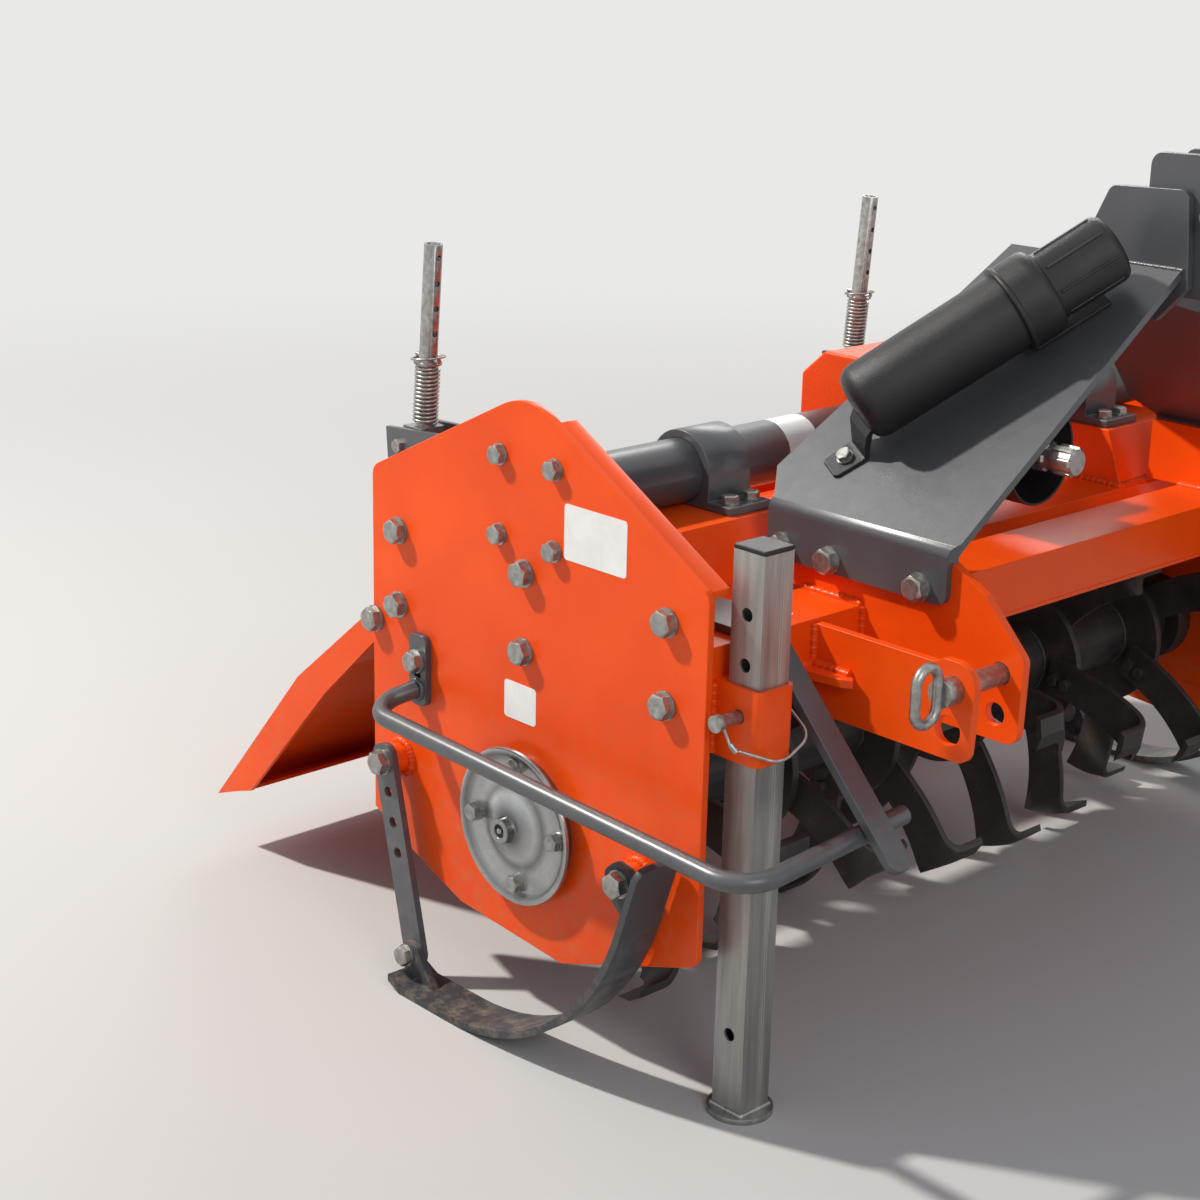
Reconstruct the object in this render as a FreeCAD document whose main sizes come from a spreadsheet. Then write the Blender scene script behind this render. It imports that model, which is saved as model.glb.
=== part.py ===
import FreeCAD, Part
import Sketcher
import math
import os
import re

# Rotary tiller for a small tractor's three-point hitch, in millimetres.
# X points forward, the way it is pulled, Y to its left and Z up. The origin is on the floor,
# under the middle of the whole machine. Right-hand pieces are drawn, left-hand ones mirrored.

os.makedirs("parts", exist_ok=True)
doc = FreeCAD.newDocument("rotary_tiller")
sheet = doc.addObject("Spreadsheet::Sheet", "Sizes")
V = FreeCAD.Vector

# name, value in millimetres or degrees, what it measures
SIZES = [
    ("axle_ahead", 82, "rotor axis ahead of the origin"),
    ("axle_height", 234, "rotor axis above the floor"),
    ("half_width", 585, "centre plane to the outer face of a side plate"),
    ("fit", 0.05, "radial clearance of a turning fit"),
    ("seat", 0.2, "clearance between pieces that bear on each other"),
    # side plates, measured from the rotor axis
    ("plate_thick", 8, "side plate thickness"),
    ("plate_rear", 257, "side plate behind the axis"),
    ("plate_front", 259, "side plate ahead of the axis"),
    ("apex_rise", 462, "where the two top slopes meet"),
    ("rear_shoulder", 337, "rear top corner"),
    ("front_shoulder", 312, "front top corner"),
    ("front_drop", 70, "front bottom corner below the axis"),
    ("belly_drop", 140, "lowest edge below the axis"),
    ("apex_round", 80, "radius at the apex"),
    ("shoulder_round", 16, "radius at the other corners"),
    ("end_thick", 6, "inner end plate thickness"),
    ("rim_width", 26, "width of the edge strip along the front slope"),
    # hood and beams
    ("hood_thick", 5, "hood sheet"),
    ("beam_front", 245, "front face of the front box beam ahead of the axis"),
    ("hood_top", 240, "underside of the hood above the axis"),
    ("beam_wall", 5, "wall of the box beams"),
    ("beam_low", 196, "underside of the front box beam above the axis"),
    ("beam_tall", 58, "height of the front box beam"),
    ("rear_beam_low", 222, "underside of the rear box beam above the axis"),
    ("rear_beam_tall", 66, "height of the rear box beam"),
    ("front_beam_depth", 80, "front box beam, fore and aft"),
    ("rear_beam_depth", 62, "rear box beam, fore and aft"),
    # cross tube, drive tube and gears
    ("tube_rise", 349, "tube axis above the rotor axis"),
    ("tube_diameter", 70, "cross tube and drive tube"),
    ("tube_wall", 5, "wall of the tubes"),
    ("flange_side", 112, "square flange at a tube's end"),
    ("flange_thick", 10, "flange thickness"),
    ("gearbox_half", 88, "centre plane to the gearbox's side"),
    ("gearbox_long", 168, "gearbox fore and aft"),
    ("gearbox_tall", 176, "gearbox height"),
    ("neck_diameter", 92, "input neck of the gearbox"),
    ("neck_long", 46, "length of the input neck"),
    ("pto_diameter", 35, "input shaft"),
    ("pto_shoulder", 32, "input shaft in the neck"),
    ("pto_step", 26, "narrower stretch of the shaft showing ahead of the neck"),
    ("pto_long", 94, "input shaft ahead of that stretch"),
    ("case_deep", 44, "side gear case, outboard of the left plate"),
    ("case_round_low", 104, "radius of the gear case round the rotor"),
    ("case_round_high", 84, "radius of the gear case round the drive tube"),
    ("cap_rim", 172, "rim of the bearing cap"),
    # rotor
    ("rotor_tube", 90, "diameter of the rotor tube"),
    ("rotor_gap", 10, "rotor tube to the end plate's bearing"),
    ("stub_diameter", 50, "rotor stub in its bearing"),
    ("bearing_outer", 120, "bearing housing"),
    ("bearing_long", 28, "bearing housing, outboard to inboard"),
    ("tine_reach", 222, "tip of a tine from the axis"),
    ("rotor_flange", 190, "diameter of a tine flange"),
    ("rotor_flange_thick", 10, "thickness of a tine flange"),
    ("tine_thick", 8, "tine blade thickness"),
    ("tine_wing", 62, "sideways reach of a tine's wing"),
    ("tine_width", 46, "width of a tine's blade"),
    # hitch
    ("hitch_outer", 170, "right outer face to the outer hitch plate's middle"),
    ("hitch_gap", 72, "between the middles of the two hitch plates"),
    ("hitch_thick", 10, "hitch plate thickness"),
    ("pin_ahead", 421, "lower hitch pin ahead of the axis"),
    ("pin_rise", 228, "lower hitch pin above the axis"),
    ("pin_diameter", 22, "lower hitch pin"),
    ("spare_hole_ahead", 418, "second hole ahead of the axis"),
    ("spare_hole_rise", 186, "second hole above the axis"),
    ("spare_hole", 30, "second hole of the outer hitch plate"),
    ("shelf_top", 208, "small shelf at the outer hitch plate above the axis"),
    # mast
    ("mast_thick", 8, "bent mast plate"),
    ("mast_bend_rise", 337, "bend of the mast plate above the axis"),
    ("mast_head_drop", 56, "top link pin down to the head of the mast plate's slope"),
    ("mast_bend_round", 15, "outer radius of the mast plate's bend"),
    ("cheek_middle", 39, "centre plane to the middle of a mast cheek"),
    ("cheek_thick", 10, "mast cheek thickness"),
    ("lug_thick", 8, "top link lug thickness"),
    ("top_pin_ahead", 412, "top link pin ahead of the axis"),
    ("top_pin_rise", 640, "top link pin above the axis"),
    ("top_pin_diameter", 19, "top link pin"),
    # parking leg
    ("leg_side", 40, "outside of the square leg"),
    ("leg_wall", 3, "wall of the leg"),
    ("leg_ahead", 280, "leg's middle ahead of the axis"),
    ("leg_in", 49, "right outer face to the leg's middle"),
    ("leg_long", 583, "length of the leg's tube"),
    ("leg_travel", 338, "from parked to raised"),
    ("foot_diameter", 68, "foot plate"),
    ("foot_thick", 6, "foot plate thickness"),
    ("leg_pitch", 50, "pitch of the leg's holes"),
    ("leg_hole", 14, "diameter of the leg's holes"),
    ("sleeve_rise", 194, "pin of the leg's sleeve above the axis"),
    ("sleeve_tall", 76, "height of the leg's sleeve"),
    ("sleeve_thick", 5, "strap of the sleeve"),
    # skids
    ("boss_long", 19, "skid bosses, outboard of the plate"),
    ("boss_diameter", 34, "skid boss"),
    ("skid_thick", 8, "skid bar thickness"),
    ("skid_width", 55, "skid bar width"),
    ("skid_gap", 5, "plate to the skid bar's inner edge"),
    ("skid_bend", 286, "outer radius of the skid's sweep"),
    ("sole_rear", 138, "rear end of the flat sole behind the axis"),
    ("sole_front", 60, "front end of the flat sole behind the axis"),
    ("skid_sweep", 72, "angle through which the skid turns up"),
    ("skid_rise", 80, "straight end of the skid"),
    ("front_boss_ahead", 176, "front skid boss ahead of the axis"),
    ("front_boss_drop", 0, "front skid boss below the axis"),
    ("rear_boss_back", 206, "rear skid boss behind the axis"),
    ("rear_boss_rise", 14, "rear skid boss above the axis"),
    ("strap_thick", 8, "height strap and skid ear thickness"),
    ("strap_width", 34, "height strap width"),
    # side guard
    ("guard_diameter", 20, "guard bar"),
    ("guard_out", 60, "guard bar outboard of the plate"),
    ("guard_rise", 88, "guard bar above the axis"),
    ("guard_front", 374, "guard bar's cross leg ahead of the axis"),
    ("guard_in", 163, "end of the guard bar inboard of the plate"),
    ("guard_bend", 42, "front bend radius of the guard bar"),
    ("guard_rear_bend", 26, "rear bend radius of the guard bar"),
    ("brace_in", 108, "right outer face to the middle of the brace"),
    ("brace_width", 30, "brace width"),
    ("brace_thick", 10, "brace thickness"),
    ("guard_lug_thick", 8, "slotted lug of the guard"),
    # tail board
    ("hinge_back", 252, "tail board hinge behind the axis"),
    ("hinge_rise", 164, "tail board hinge above the axis"),
    ("hinge_pin", 16, "tail board hinge pin"),
    ("board_thick", 4, "tail board sheet"),
    ("board_side", 5, "tail board end strip"),
    ("board_clear", 6, "end plate to the tail board"),
    # spring rods
    ("rod_in", 198, "right outer face to the spring rod"),
    ("trunnion_back", 415, "rod guide's pivot behind the axis"),
    ("trunnion_rise", 305, "rod guide's pivot above the axis"),
    ("eye_back", 432, "rod's lower eye behind the axis"),
    ("eye_rise", 80, "rod's lower eye above the axis"),
    ("rod_diameter", 22, "spring rod"),
    ("rod_above", 239, "rod above its guide's pivot"),
    ("spring_outer", 31, "spring, outside"),
    ("spring_wire", 4.4, "spring wire"),
    ("spring_turns", 13, "turns of the spring"),
    ("bar_thick", 7, "rod bracket bar thickness"),
    ("bar_tall", 38, "rod bracket bar height"),
    ("bar_spread", 64, "between the bracket bars at the guide"),
    ("bar_spread_front", 20, "between the bracket bars at the tube"),
    # tube of hand-outs on the mast
    ("canister_diameter", 84, "canister body"),
    ("canister_long", 206, "canister body length"),
    ("canister_ahead", 186, "lower end of the canister ahead of the axis"),
    ("canister_lean", 29, "canister's lean forward from the slope's steepest line"),
    ("canister_gap", 9, "canister to the mast plate"),
    ("canister_clear", 26, "end of the canister's cap to the mast cheek, up the slope"),
    ("foot_width", 38, "width of the canister's feet"),
    ("cap_diameter", 76, "canister cap"),
    ("cap_long", 80, "canister cap length"),
]

for row, (name, value, note) in enumerate(SIZES, start=1):
    sheet.set(f"A{row}", name)
    sheet.set(f"B{row}", str(value))
    sheet.set(f"C{row}", note)
    sheet.setAlias(f"B{row}", name)
doc.recompute()

ALIASES = {name for name, value, note in SIZES}
NODES = {}


def cells(text):
    """An expression in which each size's name points at its cell."""
    return re.sub(
        r"[a-z][a-z_]+",
        lambda word: "Sizes." + word.group() if word.group() in ALIASES else word.group(),
        str(text),
    )


def number(text):
    """The present value of an expression."""
    value = sheet.evalExpression(cells(text))
    return float(getattr(value, "Value", value))


def node(thing, name):
    """Names a finished sub-part."""
    thing.Label = name
    NODES[name] = thing
    return thing


def from_axle(ahead, side, rise):
    """A place given ahead of and above the rotor axis, as expressions."""
    return (f"axle_ahead + ({ahead})", side, f"axle_height + ({rise})")


def place(thing, at, rotation=None):
    if rotation is not None:
        thing.Placement = FreeCAD.Placement(V(0, 0, 0), rotation)
    for axis, text in zip("xyz", at):
        thing.setExpression(f"Placement.Base.{axis}", cells(text))
    return thing


TURN = {
    "X": FreeCAD.Rotation(V(0, 1, 0), 90),
    "Y": FreeCAD.Rotation(V(1, 0, 0), -90),
    "Z": FreeCAD.Rotation(),
}


def box(name, size, at, rotation=None):
    thing = doc.addObject("Part::Box", name)
    for edge, text in zip(("Length", "Width", "Height"), size):
        thing.setExpression(edge, cells(text))
    return place(thing, at, rotation)


def cylinder(name, diameter, length, at, axis="Y"):
    """A round piece that starts at a point and runs along an axis or a direction."""
    thing = doc.addObject("Part::Cylinder", name)
    thing.setExpression("Radius", cells(f"({diameter}) / 2"))
    thing.setExpression("Height", cells(length))
    turn = TURN[axis] if isinstance(axis, str) else FreeCAD.Rotation(V(0, 0, 1), axis)
    return place(thing, at, turn)


def cut(name, base, *tools):
    for count, tool in enumerate(tools):
        thing = doc.addObject("Part::Cut", f"{name}_cut{count}")
        thing.Base = base
        thing.Tool = tool
        base = thing
    return base


def fuse(name, *pieces):
    thing = doc.addObject("Part::MultiFuse", name + "_fused")
    thing.Shapes = list(pieces)
    thing.Refine = True
    return thing


def group(name, *pieces):
    thing = doc.addObject("Part::Compound", name + "_group")
    thing.Links = list(pieces)
    return thing


def shaped(name, shape):
    """A sub-part whose form neither a sketch nor a primitive gives."""
    thing = doc.addObject("Part::Feature", name + "_shape")
    thing.Shape = shape
    return thing


def mirror(source, name):
    """The left-hand twin of a right-hand piece."""
    thing = doc.addObject("Part::Mirroring", name + "_mirror")
    thing.Source = source
    thing.Normal = V(0, 1, 0)
    return thing


def right_and_left(thing, name):
    """A right-hand piece and its left-hand twin as two sub-parts."""
    node(thing, name + "_right")
    node(mirror(thing, name), name + "_left")


def both_sides(thing, name):
    """A right-hand piece and its left-hand twin as one sub-part."""
    node(group(name, thing, mirror(thing, name)), name)


def sketch_on(body, role, name):
    sketch = body.newObject("Sketcher::SketchObject", name)
    plane = next(item for item in body.Origin.OriginFeatures if item.Role == role)
    sketch.AttachmentSupport = [(plane, "")]
    sketch.MapMode = "FlatFace"
    return sketch


def draw(sketch, corners, circles=()):
    """Straight edges through the corners, and circles, all tied to the sheet."""
    count = len(corners)
    points = [V(number(x), number(y), 0) for x, y in corners]
    lines = [Part.LineSegment(points[i], points[(i + 1) % count]) for i in range(count)]
    sketch.addGeometry(lines, False)
    rules = [
        Sketcher.Constraint("Coincident", i, 2, (i + 1) % count, 1) for i in range(count)
    ]
    ties = []
    for i, (x, y) in enumerate(corners):
        for kind, text in (("DistanceX", x), ("DistanceY", y)):
            ties.append((len(rules), text))
            rules.append(Sketcher.Constraint(kind, -1, 1, i, 1, number(text)))
    for i, (x, y, diameter) in enumerate(circles, start=count):
        ring = Part.Circle(V(number(x), number(y), 0), V(0, 0, 1), number(diameter) / 2)
        sketch.addGeometry(ring, False)
        ties.append((len(rules), f"({diameter}) / 2"))
        rules.append(Sketcher.Constraint("Radius", i, number(diameter) / 2))
        for kind, text in (("DistanceX", x), ("DistanceY", y)):
            ties.append((len(rules), text))
            rules.append(Sketcher.Constraint(kind, -1, 1, i, 3, number(text)))
    sketch.addConstraint(rules)
    for index, text in ties:
        if ALIASES.intersection(re.findall(r"[a-z][a-z_]+", str(text))):
            sketch.setExpression(f"Constraints[{index}]", cells(text))


def round_corners(body, feature, corners, rounds, role):
    """Rounds the padded corners that a table of (corner numbers, radius) names."""
    for count, (numbers, radius) in enumerate(rounds):
        doc.recompute()
        names = []
        for index, edge in enumerate(feature.Shape.Edges, start=1):
            low, high = edge.BoundBox.getPoint(0), edge.BoundBox.getPoint(6)
            for i in numbers:
                x, y = number(corners[i][0]), number(corners[i][1])
                flat = {
                    "XZ_Plane": (low.x - x, high.x - x, low.z - y, high.z - y),
                    "XY_Plane": (low.x - x, high.x - x, low.y - y, high.y - y),
                    "YZ_Plane": (low.y - x, high.y - x, low.z - y, high.z - y),
                }[role]
                if max(abs(gap) for gap in flat) < 0.01:
                    names.append(f"Edge{index}")
        rounded = body.newObject("PartDesign::Fillet", f"{body.Name}_round{count}")
        rounded.Base = (feature, names)
        rounded.setExpression("Radius", cells(radius))
        body.Tip = rounded
        feature = rounded
    return feature


def plate(name, corners, thick, at, circles=(), rounds=(), role="XZ_Plane", rotation=None):
    """A plate padded evenly to both sides of its sketch."""
    body = doc.addObject("PartDesign::Body", name + "_body")
    sketch = sketch_on(body, role, name + "_sketch")
    draw(sketch, corners, circles)
    pad = body.newObject("PartDesign::Pad", name + "_pad")
    pad.Profile = sketch
    pad.Midplane = True
    pad.setExpression("Length", cells(thick))
    body.Tip = pad
    round_corners(body, pad, corners, rounds, role)
    return place(body, at, rotation)


def turned(name, corners, at):
    """A piece turned about the Y axis from a half section of (radius, place) corners."""
    body = doc.addObject("PartDesign::Body", name + "_body")
    sketch = sketch_on(body, "XY_Plane", name + "_sketch")
    draw(sketch, corners)
    spin = body.newObject("PartDesign::Revolution", name + "_turned")
    spin.Profile = sketch
    spin.ReferenceAxis = (sketch, ["V_Axis"])
    spin.Angle = 360
    body.Tip = spin
    return place(body, at)


def bar_along(points, bends, diameter, closed=False):
    """A round bar along straight runs joined by bends, each with its own radius."""
    count = len(points)
    edges = []
    corners = list(range(count)) if closed else list(range(1, count - 1))
    trims = {}
    for i, bend in zip(corners, bends):
        before = (points[i - 1] - points[i]).normalize()
        after = (points[(i + 1) % count] - points[i]).normalize()
        half = before.getAngle(after) / 2
        reach = bend / math.tan(half)
        middle = points[i] + (before + after).normalize() * (bend / math.sin(half) - bend)
        trims[i] = (points[i] + before * reach, middle, points[i] + after * reach)
    for i in range(count if closed else count - 1):
        start = trims[i][2] if i in trims else points[i]
        following = (i + 1) % count
        end = trims[following][0] if following in trims else points[following]
        if start.distanceToPoint(end) > 0.01:
            edges.append(Part.LineSegment(start, end).toShape())
        if following in trims:
            edges.append(Part.Arc(*trims[following]).toShape())
    path = Part.Wire(edges)
    first = path.Edges[0]
    start = first.valueAt(first.FirstParameter)
    ring = Part.Wire(Part.makeCircle(diameter / 2, start, first.tangentAt(first.FirstParameter)))
    return path.makePipeShell([ring], True, True)


def axle_point(ahead, side, rise):
    return V(*(number(text) for text in from_axle(ahead, side, rise)))


# Side plates: flat orange sheets with a peaked top and a raked belly.
plate_corners = [
    ("-plate_rear", "rear_shoulder"),
    ("-2", "apex_rise"),
    ("plate_front", "front_shoulder"),
    ("plate_front", "-front_drop"),
    ("62", "-belly_drop"),
    ("-104", "-belly_drop + 13"),
    ("-185", "-belly_drop + 44"),
    ("-plate_rear", "-belly_drop + 78"),
]
side_plate = plate(
    "side_plate",
    plate_corners,
    "plate_thick",
    from_axle(0, "-half_width + plate_thick / 2", 0),
    rounds=[([1], "apex_round"), ([0, 2, 3], "shoulder_round")],
)
right_and_left(side_plate, "side_plate")

# Inner end plates carry the hood, the beams, the tubes and the rotor's bearings.
end_middle = "-half_width + plate_thick + end_thick / 2"
end_inner = "-half_width + plate_thick + end_thick"
end_plate = plate(
    "end_plate",
    [
        ("-plate_rear", "rear_shoulder - 26"),
        ("-2", "apex_rise - 26"),
        ("plate_front - 12", "front_shoulder - 20"),
        ("plate_front - 12", "beam_low - 12"),
        ("150", "60"),
        ("96", "-84"),
        ("-96", "-84"),
        ("-plate_rear", "hinge_rise - 40"),
    ],
    "end_thick",
    from_axle(0, end_middle, 0),
    rounds=[([1], "apex_round - 20")],
)
# The edge strip is a folded sheet under the front slope, as wide as its lip.
strip = plate(
    "edge_strip",
    [
        ("4", "apex_rise - 38"),
        ("34", "apex_rise - 26"),
        ("plate_front - 6", "front_shoulder + 1"),
        ("plate_front - 6", "front_shoulder - 6"),
        ("34", "apex_rise - 33"),
        ("4", "apex_rise - 45"),
    ],
    "rim_width",
    from_axle(0, "-half_width + plate_thick + rim_width / 2", 0),
)
both_sides(fuse("end_plate", end_plate, strip), "end_plates")

# Hood: one folded sheet over the rotor. It ends under the front beam and is open behind.
beam_rear = "beam_front - front_beam_depth"
hood = plate(
    "hood",
    [
        ("beam_front", "beam_low - hood_thick"),
        (f"{beam_rear} - 0.4 * hood_thick", "beam_low - hood_thick"),
        ("110", "hood_top"),
        ("-150", "hood_top"),
        ("-222", "hood_top - 68"),
        ("-222 - 0.68 * hood_thick", "hood_top - 68 + 0.73 * hood_thick"),
        ("-150 - 0.4 * hood_thick", "hood_top + hood_thick"),
        ("110 + 0.4 * hood_thick", "hood_top + hood_thick"),
        (beam_rear, "beam_low"),
        ("beam_front", "beam_low"),
    ],
    "2 * half_width - 2 * plate_thick - 2 * end_thick",
    from_axle(0, "0", 0),
)
node(hood, "hood")

# Box beams tie the end plates together above the hood.
inside_width = "2 * (half_width - plate_thick - end_thick)"


def beam(name, rear, depth, low, tall):
    outer = box(
        name + "_outer",
        (depth, inside_width, tall),
        from_axle(rear, end_inner, low),
    )
    inner = box(
        name + "_inner",
        (f"{depth} - 2 * beam_wall", inside_width, f"{tall} - 2 * beam_wall"),
        from_axle(f"{rear} + beam_wall", end_inner, f"{low} + beam_wall"),
    )
    return node(cut(name, outer, inner), name)


beam("front_beam", beam_rear, "front_beam_depth", "beam_low", "beam_tall")
beam("rear_beam", "-plate_rear + 10", "rear_beam_depth", "rear_beam_low", "rear_beam_tall")

# Cross tube at the right and drive tube at the left, each bolted to its end plate.
tube_run = "half_width - plate_thick - end_thick - gearbox_half"
tube = cylinder("tube", "tube_diameter", tube_run, from_axle(-1, end_inner, "tube_rise"))
tube_bore = cylinder(
    "tube_bore",
    "tube_diameter - 2 * tube_wall",
    tube_run,
    from_axle(-1, end_inner, "tube_rise"),
)
flange = box(
    "tube_flange",
    ("flange_side", "flange_thick", "flange_side"),
    from_axle("-1 - flange_side / 2", end_inner, "tube_rise - flange_side / 2"),
)
cross_tube = cut("cross_tube", fuse("cross_tube", tube, flange), tube_bore)
node(cross_tube, "cross_tube")
node(mirror(cross_tube, "drive_tube"), "drive_tube")

# A saddle clamp straps each tube to its pedestal on the hood.
pedestal = plate(
    "tube_pedestal",
    [
        ("-96", "hood_top + hood_thick"),
        ("-82", "tube_rise - 36"),
        ("84", "tube_rise - 36"),
        ("108", "hood_top + hood_thick"),
    ],
    "150",
    from_axle(0, "-half_width + 212", 0),
)
both_sides(pedestal, "tube_pedestals")
clamp_ring = cylinder(
    "clamp_ring", "tube_diameter + 18", "64", from_axle(-1, "-half_width + 216", "tube_rise")
)
clamp_foot = box(
    "clamp_foot", ("154", "64", "9"), from_axle(-78, "-half_width + 216", "tube_rise - 36")
)
clamp_body = box(
    "clamp_body",
    ("tube_diameter + 18", "64", "36"),
    from_axle("-1 - tube_diameter / 2 - 9", "-half_width + 216", "tube_rise - 36"),
)
clamp_bore = cylinder(
    "clamp_bore",
    "tube_diameter + 2 * seat",
    "64",
    from_axle(-1, "-half_width + 216", "tube_rise"),
)
clamp_under = box(
    "clamp_under", ("200", "64", "60"), from_axle(-101, "-half_width + 216", "tube_rise - 96")
)
clamp = fuse("tube_clamp", clamp_ring, clamp_body, clamp_foot)
clamp = cut("tube_clamp", clamp, clamp_bore, clamp_under)
both_sides(clamp, "tube_clamps")

# Gearbox: a cast block at the centre with its input neck ahead.
gear_block = plate(
    "gear_block",
    [
        ("-gearbox_long / 2", "-gearbox_tall / 2 + 24"),
        ("-gearbox_long / 2", "gearbox_tall / 2 - 30"),
        ("-gearbox_long / 2 + 34", "gearbox_tall / 2"),
        ("gearbox_long / 2 - 22", "gearbox_tall / 2"),
        ("gearbox_long / 2", "gearbox_tall / 2 - 24"),
        ("gearbox_long / 2", "-gearbox_tall / 2 + 24"),
        ("gearbox_long / 2 - 24", "-gearbox_tall / 2"),
        ("-gearbox_long / 2 + 24", "-gearbox_tall / 2"),
    ],
    "2 * gearbox_half",
    from_axle(-1, "0", "tube_rise"),
)
neck = cylinder(
    "neck",
    "neck_diameter",
    "neck_long + 20",
    from_axle("gearbox_long / 2 - 21", "0", "tube_rise"),
    "X",
)
neck_bore = cylinder(
    "neck_bore",
    "pto_shoulder + 2 * fit",
    "neck_long",
    from_axle("gearbox_long / 2 - 1", "0", "tube_rise"),
    "X",
)
node(cut("gearbox", fuse("gearbox", gear_block, neck), neck_bore), "gearbox")

# The input shaft turns in the neck under a round guard.
shoulder = cylinder(
    "pto_shoulder",
    "pto_shoulder",
    "neck_long + pto_step",
    from_axle("gearbox_long / 2 - 1", "0", "tube_rise"),
    "X",
)
stub = cylinder(
    "pto_stub",
    "pto_diameter",
    "pto_long",
    from_axle("gearbox_long / 2 - 1 + neck_long + pto_step", "0", "tube_rise"),
    "X",
)
node(fuse("pto_shaft", shoulder, stub), "pto_shaft")
guard_shell = cylinder(
    "pto_guard_outer", "116", "118", from_axle("gearbox_long / 2 - 1", "0", "tube_rise"), "X"
)
guard_hollow = cylinder(
    "pto_guard_inner", "110", "118", from_axle("gearbox_long / 2 + 3", "0", "tube_rise"), "X"
)
guard_hole = cylinder(
    "pto_guard_hole",
    "neck_diameter + 2 * seat",
    "30",
    from_axle("gearbox_long / 2 - 10", "0", "tube_rise"),
    "X",
)
node(cut("pto_guard", guard_shell, guard_hollow, guard_hole), "pto_guard")

# Side gear case: a deep oval cover outboard of the left plate.
case_low = cylinder("case_low", "2 * case_round_low", "case_deep", from_axle(0, "half_width", 0))
case_high = cylinder(
    "case_high", "2 * case_round_high", "case_deep", from_axle(-1, "half_width", "tube_rise")
)
case_waist = plate(
    "case_waist",
    [
        ("-case_round_low", "0"),
        ("-case_round_high - 1", "tube_rise"),
        ("case_round_high - 1", "tube_rise"),
        ("case_round_low", "0"),
    ],
    "case_deep",
    from_axle(0, "half_width + case_deep / 2", 0),
)
node(fuse("gear_case", case_low, case_waist, case_high), "gear_case")

# Bearing cap: a dished pressing with a stepped hub, bolted over the rotor's right end.
cap = turned(
    "bearing_cap",
    [
        ("0", "0"),
        ("76", "0"),
        ("76", "-12"),
        ("cap_rim / 2", "-12.5"),
        ("cap_rim / 2", "-16"),
        ("cap_rim / 2 - 3", "-17.5"),
        ("cap_rim / 2 - 7", "-16"),
        ("cap_rim / 2 - 12", "-12.5"),
        ("50", "-12"),
        ("43", "-14"),
        ("20", "-23"),
        ("14", "-24"),
        ("14", "-35"),
        ("7.5", "-35"),
        ("7.5", "-27"),
        ("0", "-27"),
    ],
    from_axle(0, "-half_width", 0),
)
node(cap, "bearing_cap")

# Rotor: a tube with stub ends in bearings, and pairs of flanges that carry the tines.
stub_inner = "half_width - plate_thick - end_thick - bearing_long - rotor_gap"
bearing = cylinder("bearing_body", "bearing_outer", "bearing_long", from_axle(0, end_inner, 0))
bearing_bore = cylinder(
    "bearing_bore", "stub_diameter + 2 * fit", "bearing_long", from_axle(0, end_inner, 0)
)
both_sides(cut("rotor_bearing", bearing, bearing_bore), "rotor_bearings")
rotor_core = cylinder(
    "rotor_core", "rotor_tube", f"2 * ({stub_inner})", from_axle(0, f"-({stub_inner})", 0)
)
rotor_stub = cylinder(
    "rotor_stub",
    "stub_diameter",
    f"2 * ({stub_inner} + rotor_gap + bearing_long - 0.5)",
    from_axle(0, f"{end_inner} + 0.5", 0),
)
FLANGES = 6
TINES_PER_FLANGE = 6
flange_span = number(f"2 * ({stub_inner}) - 2 * tine_wing - 56")
flange_places = [
    -flange_span / 2 + flange_span * i / (FLANGES - 1) for i in range(FLANGES)
]
rotor_flanges = [
    cylinder(
        f"rotor_flange{i}",
        "rotor_flange",
        "rotor_flange_thick",
        from_axle(0, f"{side} - rotor_flange_thick / 2", 0),
    )
    for i, side in enumerate(flange_places)
]


def tine():
    """One blade along X, flat against its flange, with its wing swept towards +Y."""
    thick = number("tine_thick")
    width = number("tine_width")
    wing = number("tine_wing")
    reach = number("tine_reach") - 6
    heel = number("rotor_tube") / 2 + 12
    bend = 26
    turn = V(reach - bend, bend, 0)
    aslant = V(math.sin(math.pi / 4), -math.cos(math.pi / 4), 0)
    inside = bend - thick
    runs = [
        Part.LineSegment(V(heel, 0, 0), V(turn.x, 0, 0)),
        Part.Arc(V(turn.x, 0, 0), turn + aslant * bend, V(reach, bend, 0)),
        Part.LineSegment(V(reach, bend, 0), V(reach, wing, 0)),
        Part.LineSegment(V(reach, wing, 0), V(reach - thick, wing, 0)),
        Part.LineSegment(V(reach - thick, wing, 0), V(reach - thick, bend, 0)),
        Part.Arc(V(reach - thick, bend, 0), turn + aslant * inside, V(turn.x, thick, 0)),
        Part.LineSegment(V(turn.x, thick, 0), V(heel, thick, 0)),
        Part.LineSegment(V(heel, thick, 0), V(heel, 0, 0)),
    ]
    profile = Part.Wire([run.toShape() for run in runs])
    strip_solid = Part.Face(profile).extrude(V(0, 0, 4 * width))
    strip_solid.translate(V(0, 0, -2 * width))
    # The blade sweeps back towards its tip between two arcs.
    lead = [
        V(heel - 2, 0, width * 0.5),
        V(reach * 0.7, 0, width * 0.42),
        V(reach + 8, 0, -width * 0.12),
    ]
    trail = [
        V(reach - 16, 0, -width * 1.2),
        V(reach * 0.62, 0, -width * 0.58),
        V(heel - 2, 0, -width * 0.5),
    ]
    outline = Part.Wire(
        [
            Part.Arc(*lead).toShape(),
            Part.LineSegment(lead[2], trail[0]).toShape(),
            Part.Arc(*trail).toShape(),
            Part.LineSegment(trail[2], lead[0]).toShape(),
        ]
    )
    sweep = Part.Face(outline).extrude(V(0, 2 * wing, 0))
    sweep.translate(V(0, -wing / 2, 0))
    return strip_solid.common(sweep)


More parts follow.
